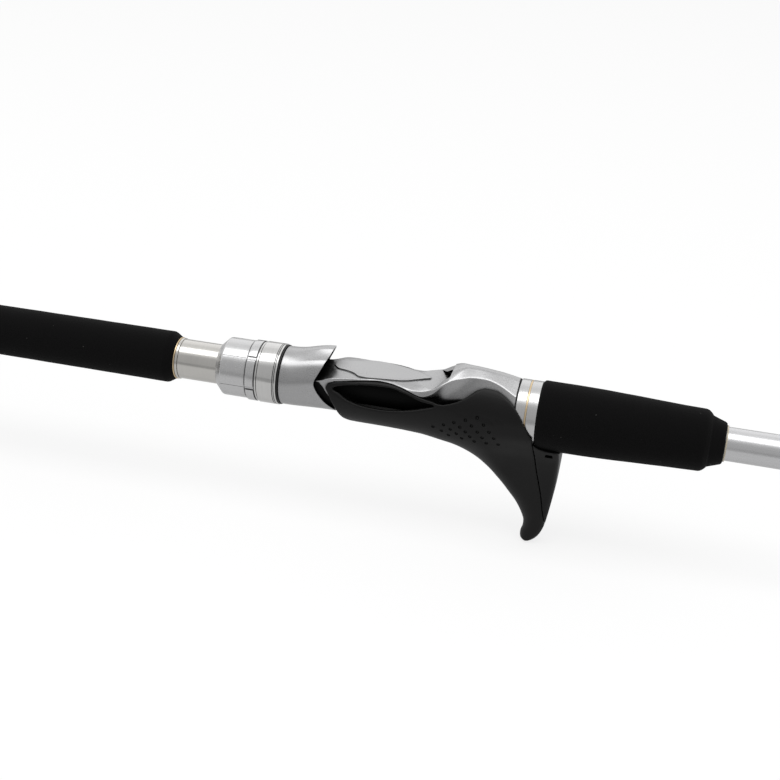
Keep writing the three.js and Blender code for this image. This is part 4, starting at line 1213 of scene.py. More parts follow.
    def underhood(self, cover: "TriggerCover", margin: float, room: float) -> Object:
        """A thin black band on the frame under the hood, ahead of the bright chin that frames the cover's nose:
        painted shade for the dark gap under the hood's edge.

        Args:
            cover: The trigger cover, whose nose the chin follows.
            margin: How far the surface stands proud of the frame.
            room: How much smaller than the surface's own its bore is.

        Returns:
            The solid, not yet dressed.
        """
        p, nose = self.plan, cover.nose
        end = p.window_front_x - 0.05
        chin = [
            (nose - 2.8, 4.2), (nose - 0.95, 2), (nose + 0.2, 0), (nose + 1.5, -1.9), (nose + 3.8, -6.1),
            (nose + 5.4, -9.9), (nose + 6, -FAR), (p.front_ring_x, -FAR), (p.front_ring_x, 4.2),
        ]
        piece = self.skin(margin, p.front_ring_x + 3, end).made("painted_shade_band")
        Bench.work(piece, Join.KEEP, Form.slab(chin))
        inside = p.front_ring_r - self.shade_band_wall - room
        return Bench.work(piece, Join.CUT, Form.plug(p.front_ring_x, end + 1, inside))

    def build(self, cover: "TriggerCover") -> None:
        """Builds the frame and the thin black band under the hood, painted shade for the gap there.

        Args:
            cover: The trigger cover, whose rim the bridge stands on.
        """
        p, legs = self.plan, self.leg_half_width
        front, rear, mouth = p.window_front_x, p.window_rear_x, p.mouth_x
        edge = self.rim(cover)
        below = [(rear, -FAR), (front, -FAR)]
        lowest = [(x, min(z, self.leg_z)) for x, z in edge]
        wall = [(x, max(self.ridge_z(x), p.bridge_z) + 0.02) for x in np.linspace(mouth - 15, mouth - 0.9, 40)]
        lip = wall + [(mouth - 0.1, p.roof_z - 1.6), (mouth + 0.2, FAR), (mouth - 15, FAR)]
        moat = Form.column(grown(self.leaf(), self.groove), p.bridge_z - 1.5, FAR).made("moat")
        Bench.work(moat, Join.CUT, self.skin(-self.groove, -26, 19))
        pad = self.skin(p.pad_step, -24.8, 18).made("pad")
        Bench.work(pad, Join.KEEP, Form.column(self.leaf(), p.bridge_z - 1.5, p.bridge_z + p.pad_step + 0.01))
        piece = Bench.work(
            self.skin(0, p.front_ring_x, p.frame_rear_x).made("seat_frame_body"),
            Join.CUT,
            Form.plug(p.front_ring_x - 1, p.barrel_rear_x + p.seat_gap, p.barrel_r + p.seat_gap),
            Form.plug(p.front_ring_x, p.frame_rear_x + 1, p.core_r + p.seat_gap),
            Form.slab(lowest + below),
            Form.block(edge + below, legs, FAR),
            Form.block(edge + below, -FAR, -legs),
            Form.block([(front, self.leg_z), (rear, self.leg_z)] + below, -legs, legs),
            Form.slab(lip),
            self.pocket(),
            moat,
        )
        Bench.work(piece, Join.ADD, pad)
        # The frame is cut back under the hood and a black band fills the cut: painted shade for the gap under the
        # hood's edge.
        Bench.work(piece, Join.CUT, self.underhood(cover, self.shade_band_depth, self.shade_band_room))
        dress(Bench.tidy(piece), Finish.SATIN, "seat_frame", crease=24)
        dress(Bench.tidy(self.underhood(cover, 0, 0)), Finish.CORE)


# ---- Sliding hood, cushion, clamp ring and nut ----


@dataclass
class SlidingHood:
    """The hood that clamps the front of a reel's foot."""

    plan: Plan = PLAN
    wall: float = 0.9
    round_r: float = 12.35
    belly_r: float = 11.7
    roof_z: float = 15.9

    def outline(self, x: float) -> list[Pair]:
        """The hood's outline at x: round at its back, crested at its lip.

        Args:
            x: Place along the rod.

        Returns:
            The closed outline.
        """
        p = self.plan
        t = step_up(x, p.hood_back_x + 1, p.hood_lip_x)

        def at(angle: float, y: float, z: float) -> Pair:
            """A point that goes from the back's circle to the lip's outline."""
            return (mix(self.round_r * math.cos(angle), y, t), mix(self.round_r * math.sin(angle), z, t))

        belly = oval_quarter(*at(0, 12.1, 1), -mix(self.round_r, self.belly_r, t), 24)
        low = at(0, 12.1, 1)
        side = at(0.66, 10.9, 9)
        crest = at(0.92, 7.5, self.roof_z - 2.9)
        hollow = at(1.17, 4.7, self.roof_z - 1.8)
        edge = at(1.4, 2.1, self.roof_z - 0.1)
        top = (0.0, mix(self.round_r, self.roof_z, t))
        flank = bow(low, at(0.33, 12.35, 4.8), side, 10)
        arch_angle = (0.66 + 0.92) / 2
        roofward = bow(side, at(arch_angle, 9.5, self.roof_z - 4.6), crest, 8)
        scooped = bow(crest, hollow, edge, 10)
        corners = [roofward[-1], crest, scooped[1]]
        softened = eased(corners, 0.5, 4, closed=False)[1:-1]
        ridge = bow(edge, at(1.485, 1.05, self.roof_z - 0.04), top, 4)
        return both_sides(belly + flank + roofward + softened + scooped[1:] + ridge + [top])

    def edge(self) -> list[Pair]:
        """The hood's front edge from the side: back from the crown to a notch, then forward.

        Returns:
            The edge as (x, z) points, from top to bottom.
        """
        lip = self.plan.hood_lip_x
        corners = [
            (lip + 0.4, FAR), (lip, self.roof_z), (lip - 5.4, 4.8), (lip - 5.5, 3), (lip - 4.6, 0.6),
            (lip - 2.9, -2), (lip - 1.1, -4.7), (lip + 1.2, -7.2), (lip + 2.6, -9), (lip + 3.4, -FAR),
        ]
        return eased(corners, [0, 0.2, 1, 1, 1.2, 1.4, 1.4, 1.2, 0.6, 0], 5, closed=False)

    def build(self) -> None:
        """Builds the hood, with the key that keeps it from turning."""
        p = self.plan
        back, reach = p.hood_back_x, p.hood_lip_x + 5
        inside = back + p.hood_end_wall
        hollow = [(x, grown(self.outline(x), -self.wall)) for x in np.linspace(inside, reach + 1, 50)]
        ahead = [(reach + FAR, -FAR), (reach + FAR, FAR)]
        piece = Form.lofted((x, self.outline(x)) for x in np.linspace(back, reach, 60)).made("sliding_hood_body")
        Bench.work(
            piece,
            Join.CUT,
            Form.lofted(hollow),
            Form.slab(self.edge() + ahead),
            Form.plug(back - 1, inside + 1, p.barrel_r + p.run_gap),
        )
        key_top = -(p.barrel_r - p.keyway_depth + p.run_gap)
        key_foot = -(p.barrel_r + p.run_gap + 0.6)
        key = Form.bar(back + 0.5, inside - 0.5, key_foot, key_top, p.keyway_width / 2 - p.run_gap)
        Bench.work(piece, Join.ADD, key)
        dress(Bench.tidy(piece), Finish.SATIN, "sliding_hood", body=Body.HOOD, crease=26)


@dataclass
class LockNut:
    """The nut with its finger pads, the clamp ring it carries and the cushion between ring and hood."""

    plan: Plan = PLAN
    radius: float = 12.36
    chamfer: float = 3.1
    pads: int = 6
    pad_length: float = 3.6
    pad_height: float = 0.55
    pad_share: float = 0.87
    pad_turn: float = 0.244
    pad_edge: float = 0.16
    pad_setback: float = 0.4
    scribe_width: float = 0.22
    scribe_depth: float = 0.16
    ring_r: float = 13.0
    cushion_r: float = 12.7

    def __post_init__(self) -> None:
        """Places the finger pads."""
        self.pads_x = self.plan.nut_x + self.plan.nut_length - self.pad_setback - self.pad_length

    def pad(self) -> Form:
        """One finger pad, at the side of the nut, with its edges broken.

        Returns:
            The pad's form.
        """
        x0, edge = self.pads_x, self.pad_edge
        half = math.pi / self.pads * self.pad_share
        top, root = self.radius + self.pad_height, self.radius - 0.6
        rows = [(x0, edge), (x0 + edge * 0.3, edge * 0.3), (x0 + edge, 0.0)]
        rows += [(2 * x0 + self.pad_length - x, drop) for x, drop in reversed(rows)]
        spread = [half * (2 * i / 28 - 1) for i in range(29)]
        foot = [(root * math.cos(a), root * math.sin(a)) for a in reversed(spread)]
        outlines = []
        for x, drop in rows:
            face = [((top - drop) * math.cos(a), (top - drop) * math.sin(a)) for a in spread]
            outlines.append((x, eased(face + foot, [edge] + [0.0] * 27 + [edge] + [0.0] * 29, 3)))
        return Form.lofted(outlines)

    def scribe(self) -> Form:
        """Cutter for one fine lengthwise line on the nut's body.

        Returns:
            The cutter's form.
        """
        half, low, high = self.scribe_width / 2, self.radius - self.scribe_depth, self.radius + 1
        outline = [(high, -half * 3), (high, half * 3), (low, half * 0.4), (low, -half * 0.4)]
        return Form.lofted([(self.plan.nut_x + self.chamfer * 0.9, outline), (self.pads_x, outline)])

    def around(self, shape: Form, turn: float, name: str) -> Object:
        """Repeats a shape round the axis, once for each pad.

        Args:
            shape: The shape at the nut's side.
            turn: Angle of the first copy.
            name: Name for the result.

        Returns:
            All the copies as one mesh.
        """
        recipe = Recipe(name, {"Copies": self.pads, "First turn": turn}, Finish.NUT)
        ring = recipe.out("GeometryNodePoints", recipe.given("Copies"))
        step = recipe.math("DIVIDE", 2 * math.pi, recipe.given("Copies"))
        angle = recipe.math("MULTIPLY_ADD", recipe.out("GeometryNodeInputIndex"), step, recipe.given("First turn"))
        recipe.scatter(ring, recipe.given("Geometry"), recipe.out("ShaderNodeCombineXYZ", angle))
        placed = recipe.run(shape.moved(z=self.plan.deck_z).made(name), name)
        placed.data.transform(Matrix.Translation((0, 0, -self.plan.deck_z * MM)))
        return placed

    def build(self) -> None:
        """Builds the nut, the clamp ring and the cushion."""
        p, share = self.plan, 2 * math.pi / self.pads
        bore, x, end, r = p.barrel_r + p.run_gap, p.nut_x, p.nut_x + p.nut_length, self.radius
        profile = [
            (x, bore), (x, bore + 0.4), (x + self.chamfer, r), (end - 4.5, r), (end - 4.35, r - 0.2),
            (end - 4.15, r - 0.2), (end - 4.0, r), (end - 0.3, r), (end, r - 0.3), (end, bore),
        ]
        easing = [0.1, 0.2, 0.5, 0.05, 0.05, 0.05, 0.05, 0.1, 0.1, 0.1]
        nut = Form.turned(eased(profile, easing, 4), 192).made("nut_body")
        Bench.work(nut, Join.ADD, self.around(self.pad(), share / 2 + self.pad_turn, "pads"))
        Bench.work(nut, Join.CUT, self.around(self.scribe(), self.pad_turn, "scribed lines"))
        dress(Bench.tidy(nut), Finish.NUT, "lock_nut", body=Body.NUT)

        x0, x1, high, low = p.clamp_ring_x, p.clamp_ring_x + p.clamp_ring_width, self.ring_r, self.ring_r - 0.3
        edge = [
            (x0, bore), (x0, low), (x0 + 0.65, low), (x0 + 0.7, low - 0.5), (x0 + 0.95, low - 0.5),
            (x0 + 1.0, high), (x1 - 1.65, high), (x1 - 1.55, low), (x1 - 1.4, low), (x1 - 1.3, high),
            (x1 - 1.0, high), (x1 - 0.9, low), (x1 - 0.75, low), (x1 - 0.65, high), (x1 - 0.25, high),
            (x1, low), (x1, bore),
        ]
        clamp = Form.turned(eased(edge, 0.07, 3), 192).made("clamp_ring_body")
        dress(clamp, Finish.CLAMP, "clamp_ring", body=Body.NUT, crease=32)

        section = band(p.cushion_x, p.cushion_x + p.cushion_width, bore, self.cushion_r)
        cushion = Form.turned(eased(section, [0.1, 0.34, 0.34, 0.1], 7), 160).made("cushion_body")
        dress(cushion, Finish.RUBBER, "cushion_ring", body=Body.HOOD, crease=50)


# ---- Trigger cover and trigger ----


@dataclass
class TriggerCover:
    """The moulded cover with its window, and the trigger's back piece behind the seam."""

    plan: Plan = PLAN
    half_width: float = 12.5
    wall: float = 1.6
    depth: float = 15.6
    tail_half_width: float = 14.7
    drop: float = 58.2
    blade_half_width: float = 5.2
    fan_x: float = 25.0
    fan_z: float = -62.0
    fan_end: float = 0.095
    dimple_r: float = 0.76
    mould_top_z: float = 14.4
    mould_rows: int = 44
    grain: float = 0.395
    cover_easing: int = 10
    back_easing: int = 6
    dimple_places: tuple[Pair, ...] = (
        (21.4, -7.6), (25.8, -5.6), (30.1, -3.5), (34.8, -1.4), (39.5, 0.6), (24.9, -9), (28.7, -7.2),
        (32.7, -5.1), (37.5, -3.4), (42.4, -1.9), (27.9, -10.7), (31.3, -8.8), (35.1, -6.8), (40.1, -5.7),
        (44.9, -4.7), (33.6, -10.7), (37.1, -8.7), (42.2, -8.1), (47, -7.4), (39, -10.7), (44, -10.6),
        (48.9, -10.4),
    )

    def __post_init__(self) -> None:
        """Draws the curves that the mould follows."""
        p = self.plan
        mouth, rear, grip = p.mouth_x, p.frame_rear_x, p.rear_grip_x
        self.nose = p.window_front_x - 3.4
        self.front_x = p.window_front_x - 5
        nose = self.nose
        self.rim_z = Curve(
            (nose, 2.6), (nose + 0.5, 3.8), (nose + 1.3, 4.7), (nose + 2.8, 5.4), (-17, 6.2), (-12.4, 6.8),
            (-7.8, 7.3), (-3.3, 7.7), (1.5, 7.5), (6.3, 6.8), (11.3, 5.5), (16.1, 4.3),
            (p.window_rear_x - 2.5, 3.6), (p.window_rear_x + 1, 3), (mouth + 3, 4.8), (mouth + 6, 6.4),
            (mouth + 9, 8.5), (mouth + 12, 10.7), (mouth + 15, 11.6), (mouth + 17.5, 11.7), (mouth + 20, 11.3),
            (mouth + 24.5, 9.3), (rear, 7.8), (p.seal_x + 1, 6.6), (p.mid_gold_x, 1.9),
            (p.rear_collar_x + 1, -1), (grip - 0.6, -7.4),
        )
        stops = np.arange(nose + 3, grip - 0.6, 0.4)
        flowing = blurred(np.array([[self.rim_z(x)] for x in stops]), 3.0)[:, 0]
        head = [(nose, 2.6), (nose + 0.3, 3.5), (nose + 0.9, 4.3), (nose + 1.8, 4.95)]
        self.rim_z = Curve(*head, *zip(stops, flowing))
        d = self.depth
        self.belly = Curve(
            (self.front_x, d - 1), (self.front_x + 8, d - 0.4), (self.front_x + 14, d - 0.1), (0, d),
            (14, d + 0.6), (self.fan_x, d + 2.4),
        )
        self.blade_front = Curve(
            (self.fan_end, 38.3), (0.103, 36.7), (0.125, 35.7), (0.18, 35.9), (0.27, 37.5), (0.36, 38.3),
            (0.57, 38.2), (0.71, 38), (0.9, 38.6), (1.09, 40.2), (1.25, 41.8), (1.45, 43.3), (math.pi / 2, 44),
        )
        self.blade_back = Curve(
            (self.fan_end, 38.9), (0.103, 40.4), (0.125, 42), (0.161, 43.8), (0.246, 46.5), (0.357, 49.4),
            (0.463, 52.7), (0.57, 57), (0.672, 62), (0.755, 67), (0.88, 75), (1, 88),
        )
        b = self.blade_half_width
        self.blade_width = Curve(
            (-self.drop, b - 0.8), (-45, b + 0.1), (-33, b + 0.9), (-24, b + 2), (-17, b + 3.6), (-11, b + 6.2),
            (-5, self.half_width + 1.6), (0, self.tail_half_width),
        )
        self.flank = Curve(
            (self.fan_x, self.half_width), (mouth + 15, self.half_width + 0.8), (rear - 2, self.tail_half_width),
        )
        self.arch_z = Curve(
            (self.front_x, 26), (-16, 20), (5, 15), (self.fan_x - 5, 12.4), (mouth + 4, 12.9), (mouth + 15, 14.2),
            (rear, self.tail_half_width),
        )
        self.seam_line = [
            (grip - 0.6, -7.4), (grip + 1.8, -22), (grip + 4.6, -34), (grip + 6.4, -44), (grip + 7.6, -50),
        ]

    @staticmethod
    def edge_round(distance: float, depth: float) -> float:
        """0 at an edge, rising to 1 once a depth from it is reached."""
        return math.sqrt(max(0.0, 1 - (1 - min(distance / depth, 1)) ** 2))

    def upper_width(self, x: float, z: float) -> float:
        """Half-width of the outside above the axis."""
        share = min(max(z, 0) / self.arch_z(x), 0.97)
        return self.flank(x) * math.sqrt(1 - share * share)

    def stations(self) -> list[list[Spot]]:
        """Outlines of the whole moulded form, upright to fan_x and then swung round to the tip.

        Returns:
            The outlines as (x, y, z) points.
        """
        top, rows = self.mould_top_z, self.mould_rows
        ladder = [t * t * (1.35 - 0.35 * t) for t in (i / rows for i in range(rows + 1))]
        result = []
        for x in np.linspace(self.front_x, self.fan_x, 50):
            deep = self.belly(x)
            half = []
            for z in (mix(-deep, top, t) for t in ladder):
                low = z < 0
                wide = self.half_width * self.edge_round(z + deep, deep) if low else self.upper_width(x, z)
                half.append((wide, z))
            result.append([(x, y, z) for y, z in both_sides(half + [(0, top)])])
        for angle in paced(math.pi / 2, (0.27, 71), (0.125, 15), (self.fan_end, 11))[1:]:
            up = (math.cos(angle), math.sin(angle))
            front = self.blade_front(angle)
            back = min(self.blade_back(angle), (top - self.fan_z) / up[1])
            share = step_up(math.pi / 2 - angle, 0, 0.62)
            deep = min(mix(self.depth + 2.3, 7, share), (back - front) * 0.6)
            half = []
            for reach in (mix(front, back, t) for t in ladder):
                x, z = self.fan_x + up[0] * reach, self.fan_z + up[1] * reach
                wide = mix(self.flank(x), self.blade_width(z), share) if z < 0 else self.upper_width(x, z)
                front_round = self.edge_round(reach - front, deep)
                back_round = mix(1, self.edge_round(back - reach + 1.2, 4.2), step_up(0.9 - angle, 0, 0.3))
                half.append((wide * front_round * back_round, reach))
            ring = both_sides(half + [(0, back)])
            result.append([(self.fan_x + up[0] * h, s, self.fan_z + up[1] * h) for s, h in ring])
        return result

    def core(self, seat: SeatFrame) -> Object:
        """Everything that the mould is shaped around: the seat, the collars and the rear grip, with their gap.

        Args:
            seat: The frame that the cover wraps.

        Returns:
            The core as one mesh.
        """
        p = self.plan
        gap = p.seat_gap
        shell = [(x - gap, r + gap) for x, r in RearGrip().profile()]
        inner = self.half_width - self.wall
        profile = [
            (self.front_x - 5, 0), (self.front_x - 5, p.front_ring_r + gap),
            (p.window_front_x - 0.5, p.front_ring_r + gap), (p.window_front_x + 0.5, inner),
            (p.window_rear_x - 2, inner), (p.window_rear_x, p.housing_r + gap),
            (p.frame_rear_x, p.housing_r + gap), (p.frame_rear_x, p.collar_r + gap),
            (p.rear_grip_x - gap, p.collar_r + gap),
        ]
        return Bench.work(
            Form.turned(profile + shell[1:] + [(shell[-1][0], 0)]).made("core"),
            Join.ADD,
            Form.bar(p.window_front_x - 0.5, p.window_rear_x + 0.5, 0, FAR, seat.leg_half_width + gap),
            seat.skin(gap, p.front_ring_x, p.window_front_x),
            seat.skin(gap, p.window_rear_x, p.frame_rear_x),
        )

    def window(self, flare: float) -> list[Pair]:
        """Outline of the almond window in the cover's side.

        Args:
            flare: How far the outline opens at this depth, from 0 inside to 1 at the surface.

        Returns:
            The outline in side view.
        """
        p = self.plan
        x0, x1 = p.window_front_x - mix(0.4, 1.8, flare), p.window_rear_x + 0.6 * flare
        lower = Curve(
            (x0, 2.3), (x0 + 2.2, 1.5), (-15.2, -1.4), (-8.5, -3.3), (-1.9, -3.7), (5.1, -3), (12, -1.4), (18.9, 0.9),
            (x1, 2),
        )
        upper = Curve(
            (x0, 2.4), (x0 + 1.5, 3.6), (x0 + 3.8, 4.3), (-14.4, 5.2), (-7.6, 6.1), (-3, 6.5), (1.7, 6.5),
            (6.6, 5.6), (11.5, 4.2), (16.3, 2.7), (x1, 2.1),
        )
        places = paced(x0, (x0 + 4, 15), (x1, 59))
        room = [flare * min(1, (x - x0) / 3, (x1 - x) / 6 + 0.15) for x in places]
        low = [(x, lower(x) - 1.1 * r) for x, r in zip(places, room)]
        return low + [(x, upper(x) + 0.45 * r) for x, r in zip(reversed(places), reversed(room))]

    def window_cutter(self) -> Form:
        """Cutter for both windows, opening towards the surface so that the lip is round.

        Returns:
            The cutter's form.
        """
        w = self.half_width
        depths = [
            (FAR, 1.0), (w + 0.15, 1.0), (w - 0.1, 0.62), (w - 0.35, 0.36), (w - 0.7, 0.15), (w - 1.2, 0.0),
        ]
        depths += [(-y, flare) for y, flare in reversed(depths)]
        return Form.skinned([[(x, y, z) for x, z in self.window(flare)] for y, flare in depths])

    def dimples(self, skin: Object) -> Object:
        """Cutters for the dimples on both flanks of a skin.

        Args:
            skin: The moulded cover.

        Returns:
            All the cutters as one mesh.
        """
        middles = []
        for x, z in self.dimple_places:
            for side in (-1, 1):
                start = Vector((x, side * FAR, z - self.plan.deck_z)) * MM
                hit, spot, _, _ = skin.ray_cast(start, Vector((0, -side, 0)))
                if hit:
                    middles.append(spot[:])
        mesh = bpy.data.meshes.new("dimple places")
        mesh.from_pydata(middles, [], [])
        recipe = Recipe("dimples", {"Dimple radius": self.dimple_r * MM}, Finish.COVER)
        sizes = {"Segments": 20, "Rings": 12, "Radius": recipe.given("Dimple radius")}
        ball = recipe.node("GeometryNodeMeshUVSphere", inputs=sizes)
        recipe.scatter(recipe.given("Geometry"), ball.outputs[0])
        return recipe.run(linked("dimple places", mesh), "dimple cutters")

    def build(self, seat: SeatFrame) -> None:
        """Builds the cover and the trigger's back piece.

        Args:
            seat: The frame that the cover wraps.
        """
        p, nose, grip = self.plan, self.nose, self.plan.rear_grip_x
        ahead, beyond = -80, 100
        form = Form.skinned(self.stations()).made("trigger_cover_body")
        Bench.work(form, Join.CUT, self.core(seat))
        back = linked("trigger_back_body", form.data.copy())

        corners = [
            (nose, FAR), (nose, 2.6), (nose + 1.9, -1), (nose + 4.2, -6.1), (nose + 5.7, -9.9),
            (nose + 7, -12.2), (nose + 8.8, -13.9), (nose + 11.5, -15.2), (nose + 14, -FAR),
        ]
        front_edge = eased(corners, [0, 0.2, 1.6, 1.6, 1.6, 1.2, 1.2, 1.2, 0], 5, closed=False)
        rim = [(x, self.rim_z(x)) for x in paced(nose, (nose + 2.8, 17), (grip - 0.6, 169))]
        seam = self.seam_line + [(grip + 7.6, -80)]
        Bench.work(
            form,
            Join.CUT,
            Form.slab(front_edge + [(ahead, -FAR), (ahead, FAR)]),
            Form.slab(rim + [(90, -7.4), (90, FAR), (ahead, FAR), (ahead, 2.6)]),
            self.window_cutter(),
            Form.slab(seam + [(beyond, -80), (beyond, FAR), (grip - 0.6, FAR)]),
        )
        upper_edge = [(90, -10.8), (grip + 8, -10.8), (grip + 4.4, -10.5), (grip + 2, -9.8), (grip + 0.5, -8.9)]
        outline = [(x + p.seam, z) for x, z in seam + [(90, -80)] + upper_edge]
        Bench.work(back, Join.KEEP, Form.slab(outline))

        Bench.mould(form, self.grain, self.cover_easing)
        Bench.mould(back, self.grain, self.back_easing)
        Bench.work(form, Join.CUT, self.dimples(form))
        Bench.work(back, Join.CUT, self.slot_cutter())
        dress(form, Finish.COVER, "trigger_cover", crease=40)
        dress(back, Finish.COVER, "trigger_back", crease=40)

    def slot_cutter(self) -> Form:
        """The short drain slot on each side of the trigger's back piece."""
        outline = eased([(67.9, -14), (71.3, -14), (71, -12.3), (68.3, -12.3)], 0.45, 4)
        return Form.block(outline, -14, -7.4).joined(Form.block(outline, 7.4, 14))


# ---- Grips, cap and rings ----


@dataclass
class RearGrip:
    """The foam grip behind the seat."""

    plan: Plan = PLAN
    radius: float = 14.25
    tail_r: float = 12.6

    def profile(self) -> list[Pair]:
        """The grip's outside, from its front face to the edge of its stepped tail.

        Returns:
            The outside as (x, radius) points.
        """
        x, end, tube = self.plan.rear_grip_x, self.plan.rear_grip_end_x, self.plan.butt_tube_r
        high, low = self.radius, self.tail_r
        return [
            (x, 0), (x, high - 0.6), (x + 0.8, high), (x + 22, high - 0.1), (x + 40, high - 0.75),
            (x + 54, low + 0.3), (end - 8, low), (end - 6.2, low - 1.5), (end - 5.8, low - 2.2),
            (end - 0.6, tube + 1.7), (end, tube + 1.2),
        ]

    def build(self) -> None:
        """Builds the grip."""
        bore = self.plan.butt_tube_r + self.plan.seat_gap
        shape = [(self.plan.rear_grip_x, bore)] + self.profile()[1:] + [(self.plan.rear_grip_end_x, bore)]
        foam_piece("rear_grip", eased(shape, [0.3, 0.5, 0.5, 8, 8, 8, 1.2, 0.5, 0.5, 0.4, 0.4, 0.3], 8))


@dataclass
class ForeGrip:
    """The long foam grip ahead of the seat."""

    plan: Plan = PLAN

    def build(self) -> None:
        """Builds the grip."""
        p = self.plan
        bore, r, x0, x1 = p.blank_butt_r + p.seat_gap, p.foregrip_r, p.foregrip_x, p.foregrip_rear_x
        shape = [
            (x0, bore), (x0, r - 3.2), (x0 + 3, r - 1.2), (x0 + 8, r - 0.4), (x0 + 80, r - 0.2), (x1 - 3.5, r),
            (x1 - 0.8, r - 1.7), (x1, r - 2.2), (x1, bore),
        ]
        foam_piece("foregrip", eased(shape, [0.3, 0.6, 2, 3, 20, 0.7, 0.4, 0.2, 0.3], 8))


@dataclass
class ButtGrip:
    """The foam grip at the butt, with its rubber cap."""

    plan: Plan = PLAN
    ribs: int = 4
    rib_pitch: float = 2.1

    def build(self) -> None:
        """Builds the grip and its ribbed cap."""
        p = self.plan
        bore, r, x0, x1 = p.butt_tube_r + p.seat_gap, p.butt_grip_r, p.butt_grip_x, p.butt_grip_end_x
        shape = [
            (x0, bore), (x0, p.butt_tube_r + 1.4), (x0 + 6, r - 2), (x0 + 12, r - 0.6), (x0 + 30, r - 0.9),
            (x0 + 70, r - 1.2), (x1 - 25, r - 0.3), (x1 - 6, r), (x1, r - 0.3), (x1, bore),
        ]
        foam_piece("butt_grip", eased(shape, [0.3, 0.6, 3, 4, 12, 12, 10, 3, 0.4, 0.3], 8))

        c0, end = p.cap_x, p.cap_x + p.cap_length
        profile = [(c0, 0), (c0, r - 0.2), (c0 + 2, r + 0.3)]
        for i in range(self.ribs):
            at = c0 + 3.2 + i * self.rib_pitch
            profile += [(at, r + 0.3), (at + 0.25, r - 0.15), (at + 0.75, r - 0.15), (at + 1, r + 0.3)]
        profile += [
            (end - 5, r + 0.3), (end - 1.5, r - 1), (end, r - 3.4), (end, 6.2), (end - 0.4, 5.8), (end - 0.4, 0),
        ]
        easing = [0] + [0.35] * 2 + [0.15] * 4 * self.ribs + [1.2, 1.2, 0.6, 0.2, 0.2, 0]
        cap = Form.turned(eased(profile, easing, 4, closed=False), 144).made("butt_cap_body")
        dress(cap, Finish.RUBBER, "butt_cap", crease=40)


def foam_piece(node: str, profile: Sequence[Pair]) -> None:
    """Turns a foam grip, with the slight waviness of ground foam.

    Args:
        node: The CAD node it stands for.
        profile: Its closed profile of (x, radius) points.
    """
    fine: list[Pair] = []
    for (x0, r0), (x1, r1) in zip(profile, list(profile[1:]) + [profile[0]]):
        count = max(int(abs(x1 - x0) / 1.5), 1)
        fine += [(mix(x0, x1, i / count), mix(r0, r1, i / count)) for i in range(count)]
    form = Form.turned(fine, 112)
    along, y, z = form.points.T
    reach = np.hypot(y, z)
    wave = np.sin(np.arctan2(z, y) * 3 + along * 0.11) * np.sin(along * 0.37 + 1.3) * 0.5 - 0.5
    scale = np.where(reach > PLAN.butt_tube_r + 2.5, 1 + wave * 0.05 / np.maximum(reach, 1), 1)
    form.points[:, 1:] *= scale[:, None]
    piece = dress(form.made(f"{node}_body"), Finish.FOAM, node, crease=35)


@dataclass
class TurnedPieces:
    """The tubes and rings that are turned from bar."""

    plan: Plan = PLAN
    gold_lap: float = 0.07
    slim_trim: float = 0.6

    def ring(
        self, node: str, x0: float, width: float, bore: float, radius: float, edge: float, finish: Finish
    ) -> None:
        """Builds one ring.

        Args:
            node: The CAD node it stands for.
            x0: Its front face.
            width: Its length along the rod.
            bore: Radius of its bore.
            radius: Its outer radius.
            edge: How far from each outer corner the rounding starts.
            finish: Its finish.
        """
        section = band(x0, x0 + width, bore, radius)
        piece = Form.turned(eased(section, [0.1, edge, edge, 0.1], 4), 160).made(f"{node}_body")
        dress(piece, finish, node, crease=32)

    def build(self) -> None:
        """Builds the trim rings, collars and tubes, and then the barrel with its keyway."""
        p, lap = self.plan, self.gold_lap
        cord, tube, trim = p.blank_butt_r + p.seat_gap, p.butt_tube_r + p.seat_gap, p.trim_width
        core_x, tube_x, gold = p.barrel_rear_x + p.seam, p.frame_rear_x + p.seam, p.gold_width
        rings = (
            ("foregrip_winding_check", p.check_x, trim * 3, cord, p.foregrip_r - 3.4, 0.8, Finish.TURNED),
            ("barrel_gold_ring", p.gold_ring_x, gold, cord, p.barrel_r + 0.5, 0.12, Finish.GOLD),
            ("barrel_end_ring", p.barrel_x - trim, trim - p.seam, cord, p.barrel_r + 0.35, 0.25, Finish.POLISHED),
            ("core_pipe", core_x, p.frame_rear_x - core_x, cord, p.core_r, 0.1, Finish.CORE),
            ("seal_ring", p.seal_x, p.seal_width, tube, p.collar_r - 0.3, 0.12, Finish.RUBBER),
            ("front_collar", p.front_collar_x, p.front_collar_width, tube, p.collar_r, 0.25, Finish.TURNED),
            ("collar_gold_ring", p.mid_gold_x - lap, gold + 2 * lap, tube, p.collar_r - 0.1, 0.05, Finish.GOLD),
            ("rear_collar", p.rear_collar_x, p.rear_collar_width, tube, p.collar_r, 0.25, Finish.TURNED),
            ("butt_tube", tube_x, p.butt_grip_end_x - tube_x, cord, p.butt_tube_r, 0.1, Finish.TUBE),
            ("rear_grip_ring", p.rear_trim_x, self.slim_trim, tube, p.butt_tube_r + 0.55, 0.2, Finish.CREAM),
            ("butt_grip_ring", p.butt_trim_x, trim, tube, p.butt_tube_r + 1.3, 0.35, Finish.CREAM),
        )
        for row in rings:
            self.ring(*row)
        section = band(p.barrel_x, p.barrel_rear_x, cord, p.barrel_r)
        barrel = Form.turned(eased(section, [0.1, 0.15, 0.15, 0.1], 3), 192).made("barrel_body")
        front, low = p.nut_x - p.open_travel + p.hood_end_wall, -p.barrel_r
        keyway = Form.bar(front, p.barrel_rear_x + 1, low - 1, low + p.keyway_depth, p.keyway_width / 2)
        Bench.work(barrel, Join.CUT, keyway)
        dress(Bench.tidy(barrel), Finish.POLISHED, "barrel")


